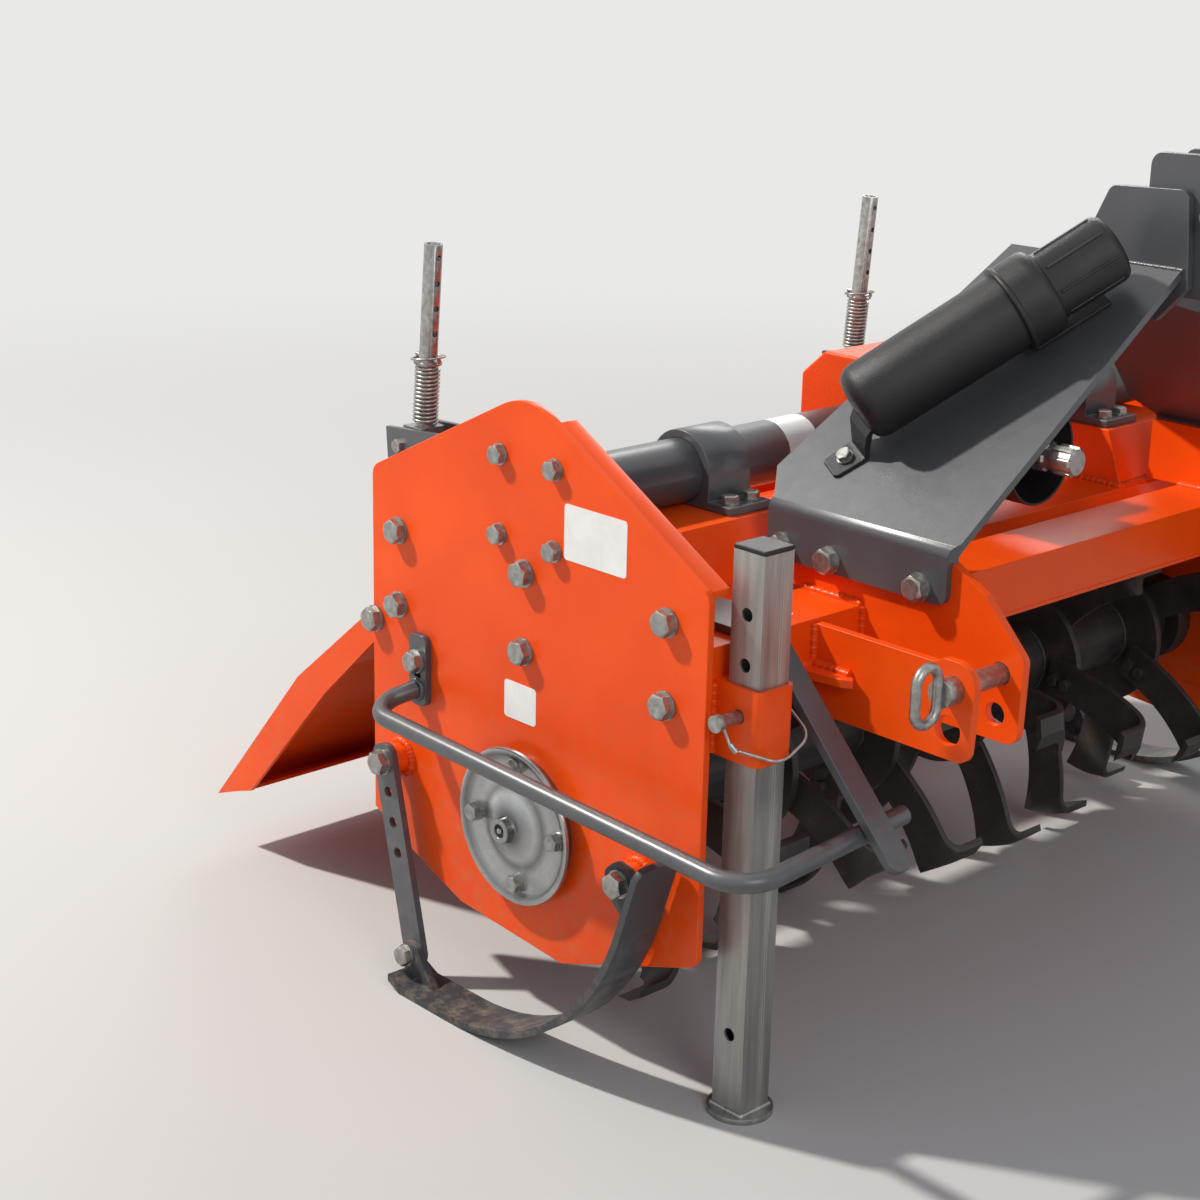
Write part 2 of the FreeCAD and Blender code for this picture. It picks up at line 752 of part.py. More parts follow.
blade = tine()
axis_middle = axle_point(0, "0", 0)
half_flange = number("rotor_flange_thick") / 2
blades = []
for i, side in enumerate(flange_places):
    for k in range(TINES_PER_FLANGE):
        angle = 360 / TINES_PER_FLANGE * k + 17 * i
        copy = blade.copy()
        toward = 1 if k % 2 == 0 else -1
        if toward < 0:
            copy = copy.mirror(V(0, 0, 0), V(0, 1, 0))
        copy.translate(V(0, side + toward * half_flange, 0))
        copy.rotate(V(0, 0, 0), V(0, 1, 0), angle)
        copy.translate(axis_middle)
        blades.append(copy)
tines = shaped("tines", Part.Compound(blades))
node(fuse("rotor", rotor_core, rotor_stub, *rotor_flanges, tines), "rotor")

# Lower hitch: an outer ear plate and a taller inner plate at each side.
ear = plate(
    "hitch_outer_plate",
    [
        ("beam_front", "pin_rise - 71"),
        ("beam_front", "pin_rise + 22"),
        ("pin_ahead - 24", "pin_rise + 22"),
        ("pin_ahead - 13", "pin_rise + 28"),
        ("pin_ahead + 27", "pin_rise + 28"),
        ("pin_ahead + 22", "pin_rise - 71"),
    ],
    "hitch_thick",
    from_axle(0, "-half_width + hitch_outer", 0),
    circles=[
        ("pin_ahead", "pin_rise", "pin_diameter + 1"),
        ("spare_hole_ahead", "spare_hole_rise", "spare_hole"),
    ],
    rounds=[([2, 3], "8"), ([4], "24"), ([5], "13")],
)
both_sides(ear, "hitch_outer_plates")
shelf = plate(
    "hitch_shelf",
    [
        ("beam_front", "-24"),
        ("beam_front", "0"),
        ("298", "0"),
        ("307", "-9"),
        ("298", "-16"),
    ],
    "9",
    from_axle(0, "-half_width + hitch_outer - hitch_thick / 2", "shelf_top - 4.5"),
    role="XY_Plane",
)
both_sides(shelf, "hitch_shelves")
inner_ear = plate(
    "hitch_inner_plate",
    [
        ("120", "beam_low + beam_tall"),
        ("120", "mast_bend_rise - 8"),
        ("345", "mast_bend_rise - 8"),
        ("pin_ahead - 24", "pin_rise + 72"),
        ("pin_ahead + 27", "pin_rise + 19"),
        ("pin_ahead + 25", "pin_rise - 69"),
        ("beam_front", "pin_rise - 69"),
        ("beam_front", "beam_low + beam_tall"),
    ],
    "hitch_thick",
    from_axle(0, "-half_width + hitch_outer + hitch_gap", 0),
    circles=[
        ("pin_ahead", "pin_rise", "pin_diameter + 1"),
        ("spare_hole_ahead", "spare_hole_rise", "pin_diameter + 1"),
    ],
    rounds=[([4, 5], "14")],
)
both_sides(inner_ear, "hitch_inner_plates")

# Hitch pin with an oval ring welded to its head as a handle.
pin_start = "-half_width + hitch_outer - hitch_thick / 2 - 20"
pin_shank = cylinder(
    "hitch_pin_shank",
    "pin_diameter",
    "hitch_gap + hitch_thick + 34",
    from_axle("pin_ahead", pin_start, "pin_rise"),
)
pin_collar = cylinder(
    "hitch_pin_collar",
    "pin_diameter + 6",
    "19.5",
    from_axle("pin_ahead", pin_start, "pin_rise"),
)
ring_half, ring_rise, ring_bar = 16, 28, 10.5
ring_middle = axle_point("pin_ahead", pin_start, "pin_rise") - V(0, ring_half + 3, -2)
ring_points = [
    ring_middle + V(0, ring_half * side, ring_rise * above)
    for side, above in ((-1, -1), (-1, 1), (1, 1), (1, -1))
]
ring = shaped(
    "hitch_pin_ring", bar_along(ring_points, (ring_half,) * 4, ring_bar, closed=True)
)
neck_plate = plate(
    "hitch_pin_neck",
    [("-6", "-18"), ("4", "-11"), ("4", "11"), ("-6", "18")],
    "9",
    from_axle("pin_ahead", pin_start, "pin_rise + 1"),
    role="YZ_Plane",
)
both_sides(fuse("hitch_pin", pin_shank, pin_collar, ring, neck_plate), "hitch_pins")

# Mast: a bent plate from each inner hitch plate up to two cheeks at the centre.
foot_out = "half_width - hitch_outer - hitch_gap + hitch_thick / 2 + mast_thick"
foot_in = "half_width - hitch_outer - hitch_gap + hitch_thick / 2"
cheek_out = "cheek_middle + cheek_thick / 2"
mast_head = "top_pin_rise - mast_head_drop"
slope_run = number(f"{foot_out} - ({cheek_out})")
slope_rise = number(f"{mast_head} - mast_bend_rise")
slope_tilt = math.atan2(slope_rise, slope_run)
upright_thick = f"mast_thick / {math.cos(slope_tilt):.4f}"
bend_inside = f"mast_bend_rise - mast_thick * {math.tan((math.pi / 2 - slope_tilt) / 2):.4f}"
mast_section = plate(
    "mast_section",
    [
        (f"-({foot_out})", "mast_bend_rise - 57"),
        (f"-({foot_out})", "mast_bend_rise"),
        (f"-({cheek_out})", mast_head),
        (f"-({cheek_out})", f"{mast_head} - {upright_thick}"),
        (f"-({foot_in})", bend_inside),
        (f"-({foot_in})", "mast_bend_rise - 57"),
    ],
    "400",
    from_axle(240, "0", 0),
    rounds=[([1], "mast_bend_round"), ([4], "mast_bend_round - mast_thick")],
    role="YZ_Plane",
)
mast_plan = plate(
    "mast_plan",
    [
        ("118", f"-({foot_out}) - 5"),
        ("355", f"-({foot_out}) - 5"),
        ("355", f"-({foot_out}) + 1"),
        ("363", f"-({foot_out}) + 9"),
        ("384", f"-({cheek_out})"),
        ("170", f"-({cheek_out})"),
        ("95", f"-({foot_out}) + 36"),
        ("118", f"-({foot_out}) + 8"),
    ],
    "800",
    from_axle(0, "0", "mast_bend_rise"),
    role="XY_Plane",
)
mast_side = plate(
    "mast_side",
    [
        ("118", "mast_bend_rise - 57"),
        ("355", "mast_bend_rise - 57"),
        ("355", "mast_bend_rise - 12"),
        ("400", "mast_bend_rise - 12"),
        ("400", f"{mast_head} + 20"),
        ("60", f"{mast_head} + 20"),
        ("60", "mast_bend_rise - 12"),
        ("118", "mast_bend_rise - 12"),
    ],
    "2 * half_width",
    from_axle(0, "0", 0),
    rounds=[([0, 1], "11")],
)
mast_cut = doc.addObject("Part::Common", "mast_cut")
mast_cut.Base = mast_section
mast_cut.Tool = mast_plan
mast = doc.addObject("Part::Common", "mast_common")
mast.Base = mast_cut
mast.Tool = mast_side
both_sides(mast, "mast_plates")
cheek = plate(
    "mast_cheek",
    [
        ("258", f"{mast_head} - 44"),
        ("271", f"{mast_head} + 35"),
        ("290", f"{mast_head} + 76"),
        ("383", f"{mast_head} + 80"),
        ("388", f"{mast_head} + 30"),
        ("392", f"{mast_head} - 20"),
        ("358", f"{mast_head} - 56"),
    ],
    "cheek_thick",
    from_axle(0, "-cheek_middle", 0),
    rounds=[([2, 3], "12")],
)
both_sides(cheek, "mast_cheeks")
lug_middle = "cheek_middle - cheek_thick / 2 - lug_thick / 2"
lug = plate(
    "top_link_lug",
    [
        ("top_pin_ahead - 83", "top_pin_rise - 86"),
        ("top_pin_ahead - 83", "top_pin_rise + 57"),
        ("top_pin_ahead + 20", "top_pin_rise + 60"),
        ("top_pin_ahead + 24", "top_pin_rise - 30"),
        ("top_pin_ahead - 10", "top_pin_rise - 86"),
    ],
    "lug_thick",
    from_axle(0, f"-({lug_middle})", 0),
    circles=[("top_pin_ahead", "top_pin_rise", "top_pin_diameter + 1")],
    rounds=[([1, 2], "14")],
)
both_sides(lug, "top_link_lugs")
top_pin = cylinder(
    "top_link_pin",
    "top_pin_diameter",
    f"2 * ({lug_middle}) + lug_thick + 36",
    from_axle("top_pin_ahead", f"-({lug_middle}) - lug_thick / 2 - 18", "top_pin_rise"),
)
node(top_pin, "top_link_pin")

# Canister for the papers: a ribbed-capped plastic tube clipped up the mast plate's slope.
slope_out = V(0, -math.sin(slope_tilt), math.cos(slope_tilt))
slope_up = V(0, math.cos(slope_tilt), math.sin(slope_tilt))
lean = math.radians(number("canister_lean"))
canister_way = V(math.sin(lean), 0, 0) + slope_up * math.cos(lean)
collar_half = 22
canister_whole = number("canister_long + cap_long") + collar_half
canister_start = (
    math.hypot(slope_run, slope_rise)
    - number("canister_clear")
    - canister_whole * math.cos(lean)
)
canister_foot = (
    axle_point("canister_ahead", f"-({foot_out})", "mast_bend_rise")
    + slope_up * canister_start
    + slope_out * number("canister_diameter / 2 + canister_gap")
)


def along_canister(name, diameter, start, length):
    at = canister_foot + canister_way * start
    return cylinder(name, diameter, length, (at.x, at.y, at.z), canister_way)


def rounded_end(name, tube, reach, radius):
    """The canister's piece with the rim at one end rounded."""
    doc.recompute()
    rims = [
        index
        for index, edge in enumerate(tube.Shape.Edges, start=1)
        if edge.Closed
        and abs((edge.CenterOfMass - canister_foot).dot(canister_way) - reach) < 0.1
    ]
    thing = doc.addObject("Part::Fillet", name + "_round")
    thing.Base = tube
    thing.Edges = [(index, radius, radius) for index in rims]
    return thing


def foot(name, start, long, tall):
    """A flat foot under the canister, square to the mast plate's slope."""
    across = slope_out.cross(canister_way)
    thing = doc.addObject("Part::Box", name)
    thing.Length = long
    thing.setExpression("Width", cells("foot_width"))
    thing.Height = tall
    low = canister_foot + canister_way * start
    low -= slope_out * number("canister_diameter / 2 + canister_gap - seat")
    corner = low - across * (number("foot_width") / 2)
    turn = FreeCAD.Rotation(canister_way, across, slope_out, "ZXY")
    thing.Placement = FreeCAD.Placement(corner, turn)
    return thing


canister_body = rounded_end(
    "canister_body",
    along_canister("canister_body", "canister_diameter", 0, "canister_long"),
    0,
    12,
)
collar = along_canister(
    "canister_collar",
    "canister_diameter + 11",
    number("canister_long") - collar_half,
    str(2 * collar_half),
)
canister = fuse(
    "canister",
    canister_body,
    collar,
    foot("canister_foot_low", -58, 66, 5),
    foot("canister_riser", -2, 10, 42),
    foot("canister_foot_high", number("canister_long") - 20, 84, 5),
)
node(canister, "paper_canister")
cap_start = number("canister_long") + collar_half
cap_tube = along_canister("canister_cap", "cap_diameter", cap_start, "cap_long")
node(
    rounded_end("canister_cap", cap_tube, cap_start + number("cap_long"), 11),
    "canister_cap",
)

# Side guard: a bent round bar from a slotted lug round to the brace at the front.
lug_in = "-half_width - guard_lug_thick"
guard_lug = plate(
    "guard_lug",
    [("-184", "86"), ("-184", "167"), ("-155", "167"), ("-155", "86")],
    "guard_lug_thick",
    from_axle(0, "-half_width - guard_lug_thick / 2", 0),
    rounds=[([0, 1, 2, 3], "9")],
)
slot = box(
    "guard_slot",
    ("11", "3 * guard_lug_thick", "30"),
    from_axle("-175", "-half_width - 2 * guard_lug_thick", "118"),
)
guard_points = [
    axle_point("-171", f"{lug_in} + 1", "guard_rise + 17"),
    axle_point("-192", "-half_width - guard_out - 1", "guard_rise"),
    axle_point("guard_front", "-half_width - guard_out", "guard_rise - 18"),
    axle_point("guard_front", "-half_width + guard_in", "guard_rise - 1"),
]
guard_bends = (number("guard_rear_bend"), number("guard_bend"))
guard_bar = shaped(
    "guard_bar", bar_along(guard_points, guard_bends, number("guard_diameter"))
)
guard = fuse("side_guard", cut("guard_lug", guard_lug, slot), guard_bar)
both_sides(guard, "side_guards")

# The brace is a flat bar from the front beam down over the guard's cross leg.
brace_lean = 46.2
lean_turn = FreeCAD.Rotation(V(0, 1, 0), brace_lean)
brace_rise = number("guard_diameter / 2 + seat + brace_thick / 2") + 1.8
brace_middle = axle_point("guard_front", "-half_width + brace_in", "guard_rise - 6.5")
brace_middle += lean_turn.multVec(V(0, 0, brace_rise))
brace_bar = plate(
    "guard_brace",
    [
        ("-250", "-brace_width / 2"),
        ("50", "-brace_width / 2"),
        ("50", "brace_width / 2"),
        ("-250", "brace_width / 2"),
    ],
    "brace_thick",
    (brace_middle.x, brace_middle.y, brace_middle.z),
    rounds=[([1, 2], "12")],
    role="XY_Plane",
    rotation=lean_turn,
)
behind_panel = box(
    "behind_panel",
    ("300", "200", "600"),
    from_axle("beam_front - 300", "-half_width", "0"),
)
brace_foot = box(
    "brace_foot",
    ("92", "brace_width + 33", "9"),
    from_axle(
        "beam_front - 92",
        "-half_width + brace_in - brace_width / 2 - 33",
        "beam_low + beam_tall + seat",
    ),
)
brace = cut("guard_brace", brace_bar, behind_panel)
both_sides(fuse("guard_brace", brace, brace_foot), "guard_braces")

# Skids: a flat bar bent up at the front, hung from a boss and a drilled height strap.
skid_middle = "-half_width - skid_gap - skid_width / 2"


def skid_bar():
    """The bent bar: a turned-up tip, a flat sole, a wide sweep and a straight rise."""
    thick = number("skid_thick")
    sole = -number("axle_height")
    radius = number("skid_bend")
    sweep = math.radians(number("skid_sweep"))
    flat_rear = V(-number("sole_rear"), 0, sole)
    flat_front = V(-number("sole_front"), 0, sole)
    centre = flat_front + V(0, 0, radius)
    tip = flat_rear + V(-20, 0, 9)
    rise = V(math.cos(sweep), 0, math.sin(sweep)) * number("skid_rise")

    def on_sweep(reach, angle):
        return centre + V(math.sin(angle), 0, -math.cos(angle)) * reach

    lift = V(0, 0, thick)
    outer = [tip, flat_rear, flat_front, on_sweep(radius, sweep / 2), on_sweep(radius, sweep)]
    reach = radius - thick
    inner = [
        tip + lift,
        flat_rear + lift,
        flat_front + lift,
        on_sweep(reach, sweep / 2),
        on_sweep(reach, sweep),
    ]
    edges = []
    for line in (outer, inner):
        edges.append(Part.LineSegment(line[0], line[1]).toShape())
        edges.append(Part.LineSegment(line[1], line[2]).toShape())
        edges.append(Part.Arc(line[2], line[3], line[4]).toShape())
        edges.append(Part.LineSegment(line[4], line[4] + rise).toShape())
    edges.append(Part.LineSegment(outer[0], inner[0]).toShape())
    edges.append(Part.LineSegment(outer[4] + rise, inner[4] + rise).toShape())
    profile = Part.Wire(Part.__sortEdges__(edges))
    solid = Part.Face(profile).extrude(V(0, number("skid_width"), 0))
    top = inner[4] + rise
    corners = [
        edge
        for edge in solid.Edges
        if abs(edge.Length - thick) < 0.01 and edge.CenterOfMass.distanceToPoint(top) < 70
    ]
    solid = solid.makeFillet(14, corners)
    solid.translate(axle_point(0, f"{skid_middle} - skid_width / 2", 0))
    return solid


skid_shape = shaped("skid_bar", skid_bar())
ear_y = "-half_width - boss_long - strap_thick / 2 - seat"
front_ear = plate(
    "skid_front_ear",
    [
        ("front_boss_ahead - 22", "-front_boss_drop + 8"),
        ("front_boss_ahead - 8", "-front_boss_drop + 21"),
        ("front_boss_ahead + 10", "-front_boss_drop + 18"),
        ("front_boss_ahead + 46", "-front_boss_drop - 6"),
        ("front_boss_ahead + 24", "-front_boss_drop - 52"),
        ("front_boss_ahead - 22", "-front_boss_drop - 14"),
    ],
    "strap_thick",
    from_axle(0, ear_y, 0),
    rounds=[([0, 1, 5], "10")],
)
rear_ear = plate(
    "skid_rear_ear",
    [
        ("-156", "-axle_height + skid_thick / 2 + 5"),
        ("-167", "-axle_height + 34"),
        ("-160", "-axle_height + 50"),
        ("-138", "-axle_height + 50"),
        ("-127", "-axle_height + 32"),
        ("-104", "-axle_height + skid_thick / 2"),
        ("-138", "-axle_height + skid_thick / 2"),
    ],
    "strap_thick",
    from_axle(0, f"{ear_y} - strap_thick - seat", 0),
    rounds=[([1, 2, 3, 4], "9")],
)
both_sides(fuse("skid", skid_shape, front_ear, rear_ear), "skids")


def strap_point(along, across):
    """A point of the height strap, along from its top bolt and across to the front."""
    run = V(53, 0, -218).normalize()
    return (
        f"-rear_boss_back + {run.x * along - run.z * across:.2f}",
        f"rear_boss_rise + {run.z * along + run.x * across:.2f}",
    )


strap_half = number("strap_width") / 2
strap = plate(
    "skid_strap",
    [
        strap_point(-20, -strap_half),
        strap_point(-20, strap_half),
        strap_point(234, strap_half),
        strap_point(234, -strap_half),
    ],
    "strap_thick",
    from_axle(0, ear_y, 0),
    circles=[(*strap_point(along, 0), "13") for along in (35, 70, 105)],
    rounds=[([0, 1, 2, 3], "14")],
)
both_sides(strap, "skid_straps")
bosses = [
    cylinder(
        f"skid_boss{i}",
        "boss_diameter",
        "boss_long",
        from_axle(ahead, "-half_width - boss_long", rise),
    )
    for i, (ahead, rise) in enumerate(
        (("front_boss_ahead", "-front_boss_drop"), ("-rear_boss_back", "rear_boss_rise"))
    )
]
both_sides(group("skid_bosses", *bosses), "skid_bosses")

# Parking leg: a drilled square tube with a round foot, held by a pin in a strap sleeve.
leg_y = "-half_width + leg_in"
leg_base = "-axle_height + foot_thick"
leg_outer = box(
    "leg_outer",
    ("leg_side", "leg_side", "leg_long"),
    from_axle("leg_ahead - leg_side / 2", f"{leg_y} - leg_side / 2", leg_base),
)
leg_bore = box(
    "leg_bore",
    ("leg_side - 2 * leg_wall", "leg_side - 2 * leg_wall", "leg_long"),
    from_axle(
        "leg_ahead - leg_side / 2 + leg_wall",
        f"{leg_y} - leg_side / 2 + leg_wall",
        leg_base,
    ),
)
leg_foot = cylinder(
    "leg_foot", "foot_diameter", "foot_thick", from_axle("leg_ahead", leg_y, "-axle_height"), "Z"
)
leg_holes = [
    cylinder(
        f"leg_hole{i}",
        "leg_hole",
        "leg_side + 20",
        from_axle("leg_ahead", f"{leg_y} - leg_side / 2 - 10", f"sleeve_rise + {above}"),
    )
    for i, above in enumerate(("2 * leg_pitch", "leg_pitch", "0", "-leg_travel"))
]
leg_tube = cut("leg_tube", leg_outer, leg_bore, *leg_holes)
node(fuse("parking_leg", leg_tube, leg_foot), "parking_leg")
leg_cap = box(
    "leg_cap",
    ("leg_side + 1", "leg_side + 1", "5"),
    from_axle(
        "leg_ahead - leg_side / 2 - 0.5",
        f"{leg_y} - leg_side / 2 - 0.5",
        f"{leg_base} + leg_long",
    ),
)
node(leg_cap, "leg_cap")

# Sleeve: a strap bent round the leg and welded to the front beam.
sleeve_half = "(leg_side / 2 + 0.6)"
sleeve_low = "sleeve_rise - sleeve_tall + 29"
sleeve_side = f"({sleeve_half} + sleeve_thick)"
sleeve_outer = plate(
    "sleeve_outer",
    [
        ("beam_front - leg_ahead", f"-{sleeve_side}"),
        (sleeve_side, f"-{sleeve_side}"),
        (sleeve_side, sleeve_side),
        ("beam_front - leg_ahead", sleeve_side),
    ],
    "sleeve_tall",
    from_axle("leg_ahead", leg_y, f"{sleeve_low} + sleeve_tall / 2"),
    rounds=[([1, 2], "9")],
    role="XY_Plane",
)
sleeve_inner = box(
    "sleeve_inner",
    (f"2 * {sleeve_half}", f"2 * {sleeve_half}", "sleeve_tall"),
    from_axle(f"leg_ahead - {sleeve_half}", f"{leg_y} - {sleeve_half}", sleeve_low),
)
pin_passage = cylinder(
    "sleeve_pin_hole",
    "leg_hole",
    "leg_side + 60",
    from_axle("leg_ahead", f"{leg_y} - leg_side / 2 - 30", "sleeve_rise"),
)
sleeve = cut("leg_sleeve", sleeve_outer, sleeve_inner, pin_passage)
node(sleeve, "leg_sleeve")

# Leg pin: its head and its tip show at the sleeve's two sides, joined by a sprung wire loop.
pin_out = f"{leg_y} - {sleeve_side} - 33"
pin_head = cylinder(
    "leg_pin_head", "leg_hole + 3", "7", from_axle("leg_ahead", pin_out, "sleeve_rise")
)
pin_near = cylinder(
    "leg_pin_near",
    "leg_hole - 1",
    "33 + sleeve_thick",
    from_axle("leg_ahead", pin_out, "sleeve_rise"),
)
pin_far = cylinder(
    "leg_pin_far",
    "leg_hole - 1",
    "sleeve_thick + 14",
    from_axle("leg_ahead", f"{leg_y} + {sleeve_half}", "sleeve_rise"),
)
wire_points = [
    axle_point("leg_ahead + 2", f"{pin_out} + 11", "sleeve_rise - 5"),
    axle_point("leg_ahead + 12", f"{pin_out} + 12", "sleeve_rise - 24"),
    axle_point(f"leg_ahead + {sleeve_side} + 16", f"{leg_y} - 8", "sleeve_rise - 40"),
    axle_point(f"leg_ahead + {sleeve_side} + 14", f"{leg_y} + 34", "sleeve_rise - 22"),
    axle_point("leg_ahead + 8", f"{leg_y} + {sleeve_side} + 11", "sleeve_rise - 3"),
    axle_point("leg_ahead", f"{leg_y} + {sleeve_side} + 10", "sleeve_rise"),
]
pin_wire = shaped("leg_pin_wire", bar_along(wire_points, (8, 26, 20, 5), 3.2))
node(fuse("leg_pin", pin_head, pin_near, pin_wire, pin_far), "leg_pin")

# Tail board: a cranked sheet with end strips and a forward lip, hinged behind the hood.
board_edge = "half_width - plate_thick - end_thick - board_clear"
board_width = f"2 * ({board_edge})"
sheet_line = [
    ("-hinge_back - 12", "hinge_rise + 16"),
    ("-433", "41"),
    ("-612", "-164.6"),
    ("-536", "-136"),
]
under_line = [
    ("-541", "-134"),
    ("-603.5", "-157"),
    ("-429.4", "39.4 + 0.5"),
    ("-hinge_back - 12", "hinge_rise + 16 - board_thick * 1.3"),
]
board_sheet = plate("board_sheet", sheet_line + under_line, board_width, from_axle(0, "0", 0))
side_corners = [
    ("-hinge_back + 13", "hinge_rise"),
    ("-hinge_back + 10", "hinge_rise + 12"),
    ("-hinge_back - 12", "hinge_rise + 15"),
    ("-433", "40"),
    ("-609", "-161.5"),
    ("-538", "-138"),
    ("-378", "36"),
    ("-hinge_back - 20", "hinge_rise - 30"),
    ("-hinge_back + 6", "hinge_rise - 14"),
]
board_sides = [
    plate(
        f"board_side{i}",
        side_corners,
        "board_side",
        from_axle(0, f"{sign} * ({board_edge} - board_side / 2)", 0),
        circles=[("-hinge_back", "hinge_rise", "hinge_pin + 2 * fit")],
    )
    for i, sign in enumerate((-1, 1))
]
lug_sides = [
    plate(
        f"board_lug{i}",
        [
            ("-eye_back - 26", "eye_rise - 69.5"),
            ("-eye_back - 16", "eye_rise + 10"),
            ("-eye_back", "eye_rise + 16"),
            ("-eye_back + 16", "eye_rise + 10"),
            ("-eye_back + 28", "eye_rise - 17.5"),
            ("-eye_back - 1", "eye_rise - 41"),
        ],
        "6",
        from_axle(0, f"{sign} * (half_width - rod_in) + {shift}", 0),
        circles=[("-eye_back", "eye_rise", "12 + 2 * fit")],
        rounds=[([1, 3], "6")],
    )
    for i, (sign, shift) in enumerate(((-1, -19), (-1, 19), (1, -19), (1, 19)))
]
node(fuse("tail_board", board_sheet, *board_sides, *lug_sides), "tail_board")
hinge_pins = [
    cylinder(
        f"tail_pin{i}",
        "hinge_pin",
        "board_clear + board_side + 8",
        from_axle("-hinge_back", start, "hinge_rise"),
    )
    for i, start in enumerate((end_inner, f"-({end_inner}) - board_clear - board_side - 8"))
]
node(group("tail_hinge_pins", *hinge_pins), "tail_hinge_pins")

# Rod brackets: a pair of flat bars from the tube's back to each rod guide.


def bracket_bar(name, side_front, side_rear):
    """One straight bar, leaning down to the rear and closing towards its mate at the front."""
    front = axle_point("-1 - tube_diameter / 2 + 20", side_front, "tube_rise - 6")
    rear = axle_point("-trunnion_back - 25", side_rear, "trunnion_rise")
    run = front - rear
    thing = doc.addObject("Part::Box", name)
    thing.Length = run.Length
    thing.setExpression("Width", cells("bar_thick"))
    thing.setExpression("Height", cells("bar_tall"))
    across = V(0, 0, 1).cross(run).normalize()
    up = run.cross(across).normalize()
    turn = FreeCAD.Rotation(run, across, up, "XYZ")
    corner = rear - across * (thing.Width.Value / 2) - up * (number("bar_tall") / 2)
    thing.Placement = FreeCAD.Placement(corner, turn)
    return thing


bars = [
    bracket_bar(
        f"rod_bar{i}",
        f"-half_width + rod_in - 42 + ({sign}) * bar_spread_front / 2",
        f"-half_width + rod_in + ({sign}) * bar_spread / 2",
    )
    for i, sign in enumerate((-1, 1))
]
guide_hole = cylinder(
    "guide_hole",
    "12 + 2 * fit",
    "bar_spread + 60",
    from_axle(
        "-trunnion_back", "-half_width + rod_in - bar_spread / 2 - 30", "trunnion_rise"
    ),
)
tube_round = cylinder(
    "tube_round", "tube_diameter", "400", from_axle(-1, "-half_width + 20", "tube_rise")
)
bracket = cut("rod_bracket", group("rod_bracket", *bars), guide_hole, tube_round)
both_sides(bracket, "rod_brackets")

# Spring rods: each slides through a pivoting guide block and carries a spring above it.
guide_point = axle_point("-trunnion_back", "0", "trunnion_rise")
rod_way = (guide_point - axle_point("-eye_back", "0", "eye_rise")).normalize()
rod_reach = guide_point.distanceToPoint(axle_point("-eye_back", "0", "eye_rise"))
rod_radius = number("rod_diameter") / 2
pivot_radius = 6
# The rod's eye is an open pivot: its bore leaves room for its drift round the pin.
eye_drift = 3.2
block_side, block_drop = 34, 14
spring_start = 21.6
rod_tail = 14
rod_holes, rod_hole_pitch, rod_hole = 6, 30, 7
side = V(0, 1, 0)
coil_radius = number("spring_outer / 2 - spring_wire / 2")
wire_radius = number("spring_wire / 2")
spring_long = number("spring_wire * 1.06 * spring_turns")
coil_count = int(number("spring_turns"))
coil_pitch = (spring_long - 2 * wire_radius) / (coil_count - 1)


def round_bar(radius, length, start, way):
    return Part.makeCylinder(radius, length, start, way)


def guide_block(middle):
    """A drilled block on a cross pin that turns in the bracket bars."""
    wide = number("bar_spread - bar_thick") - 19
    corner = middle + V(-block_side / 2, -wide / 2, -block_drop)
    block = Part.makeBox(block_side, wide, block_side, corner)
    pivot_long = number("bar_spread + bar_thick") + 12
    pivot = round_bar(pivot_radius, pivot_long, middle - side * (pivot_long / 2), side)
    passage = round_bar(rod_radius + number("fit"), 60, middle - rod_way * 30, rod_way)
    return block.fuse(pivot).cut(passage)


def ridged_spring(base):
    """A sleeve with a ring at every turn of the coil that it stands in for."""
    inner = round_bar(coil_radius + 0.4, spring_long, base, rod_way)
    coils = []
    for i in range(coil_count):
        at = base + rod_way * (wire_radius + coil_pitch * i)
        coils.append(Part.makeTorus(coil_radius, wire_radius, at, rod_way))
    bore = round_bar(rod_radius + 0.3, spring_long + 2, base - rod_way, rod_way)
    return inner.fuse(coils).cut(bore)


def drilled_rod(middle):
    """The rod with its cross holes, its hollow top and the flat eye at its foot."""
    above = number("rod_above")
    low = middle - rod_way * (rod_reach - rod_tail)
    rod = round_bar(rod_radius, rod_reach - rod_tail + above, low, rod_way)
    hollow_start = low + rod_way * (rod_reach + 75)
    rod = rod.cut(round_bar(rod_radius - 3, 150, hollow_start, rod_way))
    for k in range(rod_holes):
        at = middle + rod_way * (above - 16 - rod_hole_pitch * k)
        rod = rod.cut(round_bar(rod_hole / 2, 60, at - V(30, 0, 0), V(1, 0, 0)))
    eye = middle - rod_way * rod_reach
    tongue = round_bar(16, 26, eye - side * 13, side)
    bore = round_bar(pivot_radius + eye_drift, 40, eye - side * 20, side)
    return rod.fuse(tongue).cut(bore)


guides, springs, rods, washers = [], [], [], []
for sign in (-1, 1):
    middle = guide_point + side * (sign * number("half_width - rod_in"))
    base = middle + rod_way * spring_start
    guides.append(guide_block(middle))
    springs.append(ridged_spring(base))
    rods.append(drilled_rod(middle))
    washer = round_bar(17, 3, base + rod_way * (spring_long + 0.3), rod_way)
    washer_bore = round_bar(rod_radius, 5, base + rod_way * (spring_long - 1), rod_way)
    washers.append(washer.cut(washer_bore))
node(shaped("rod_guides", Part.Compound(guides)), "rod_guides")
node(shaped("rod_springs", Part.Compound(springs)), "rod_springs")
node(shaped("spring_rods", Part.Compound(rods)), "spring_rods")
node(shaped("rod_washers", Part.Compound(washers)), "rod_washers")

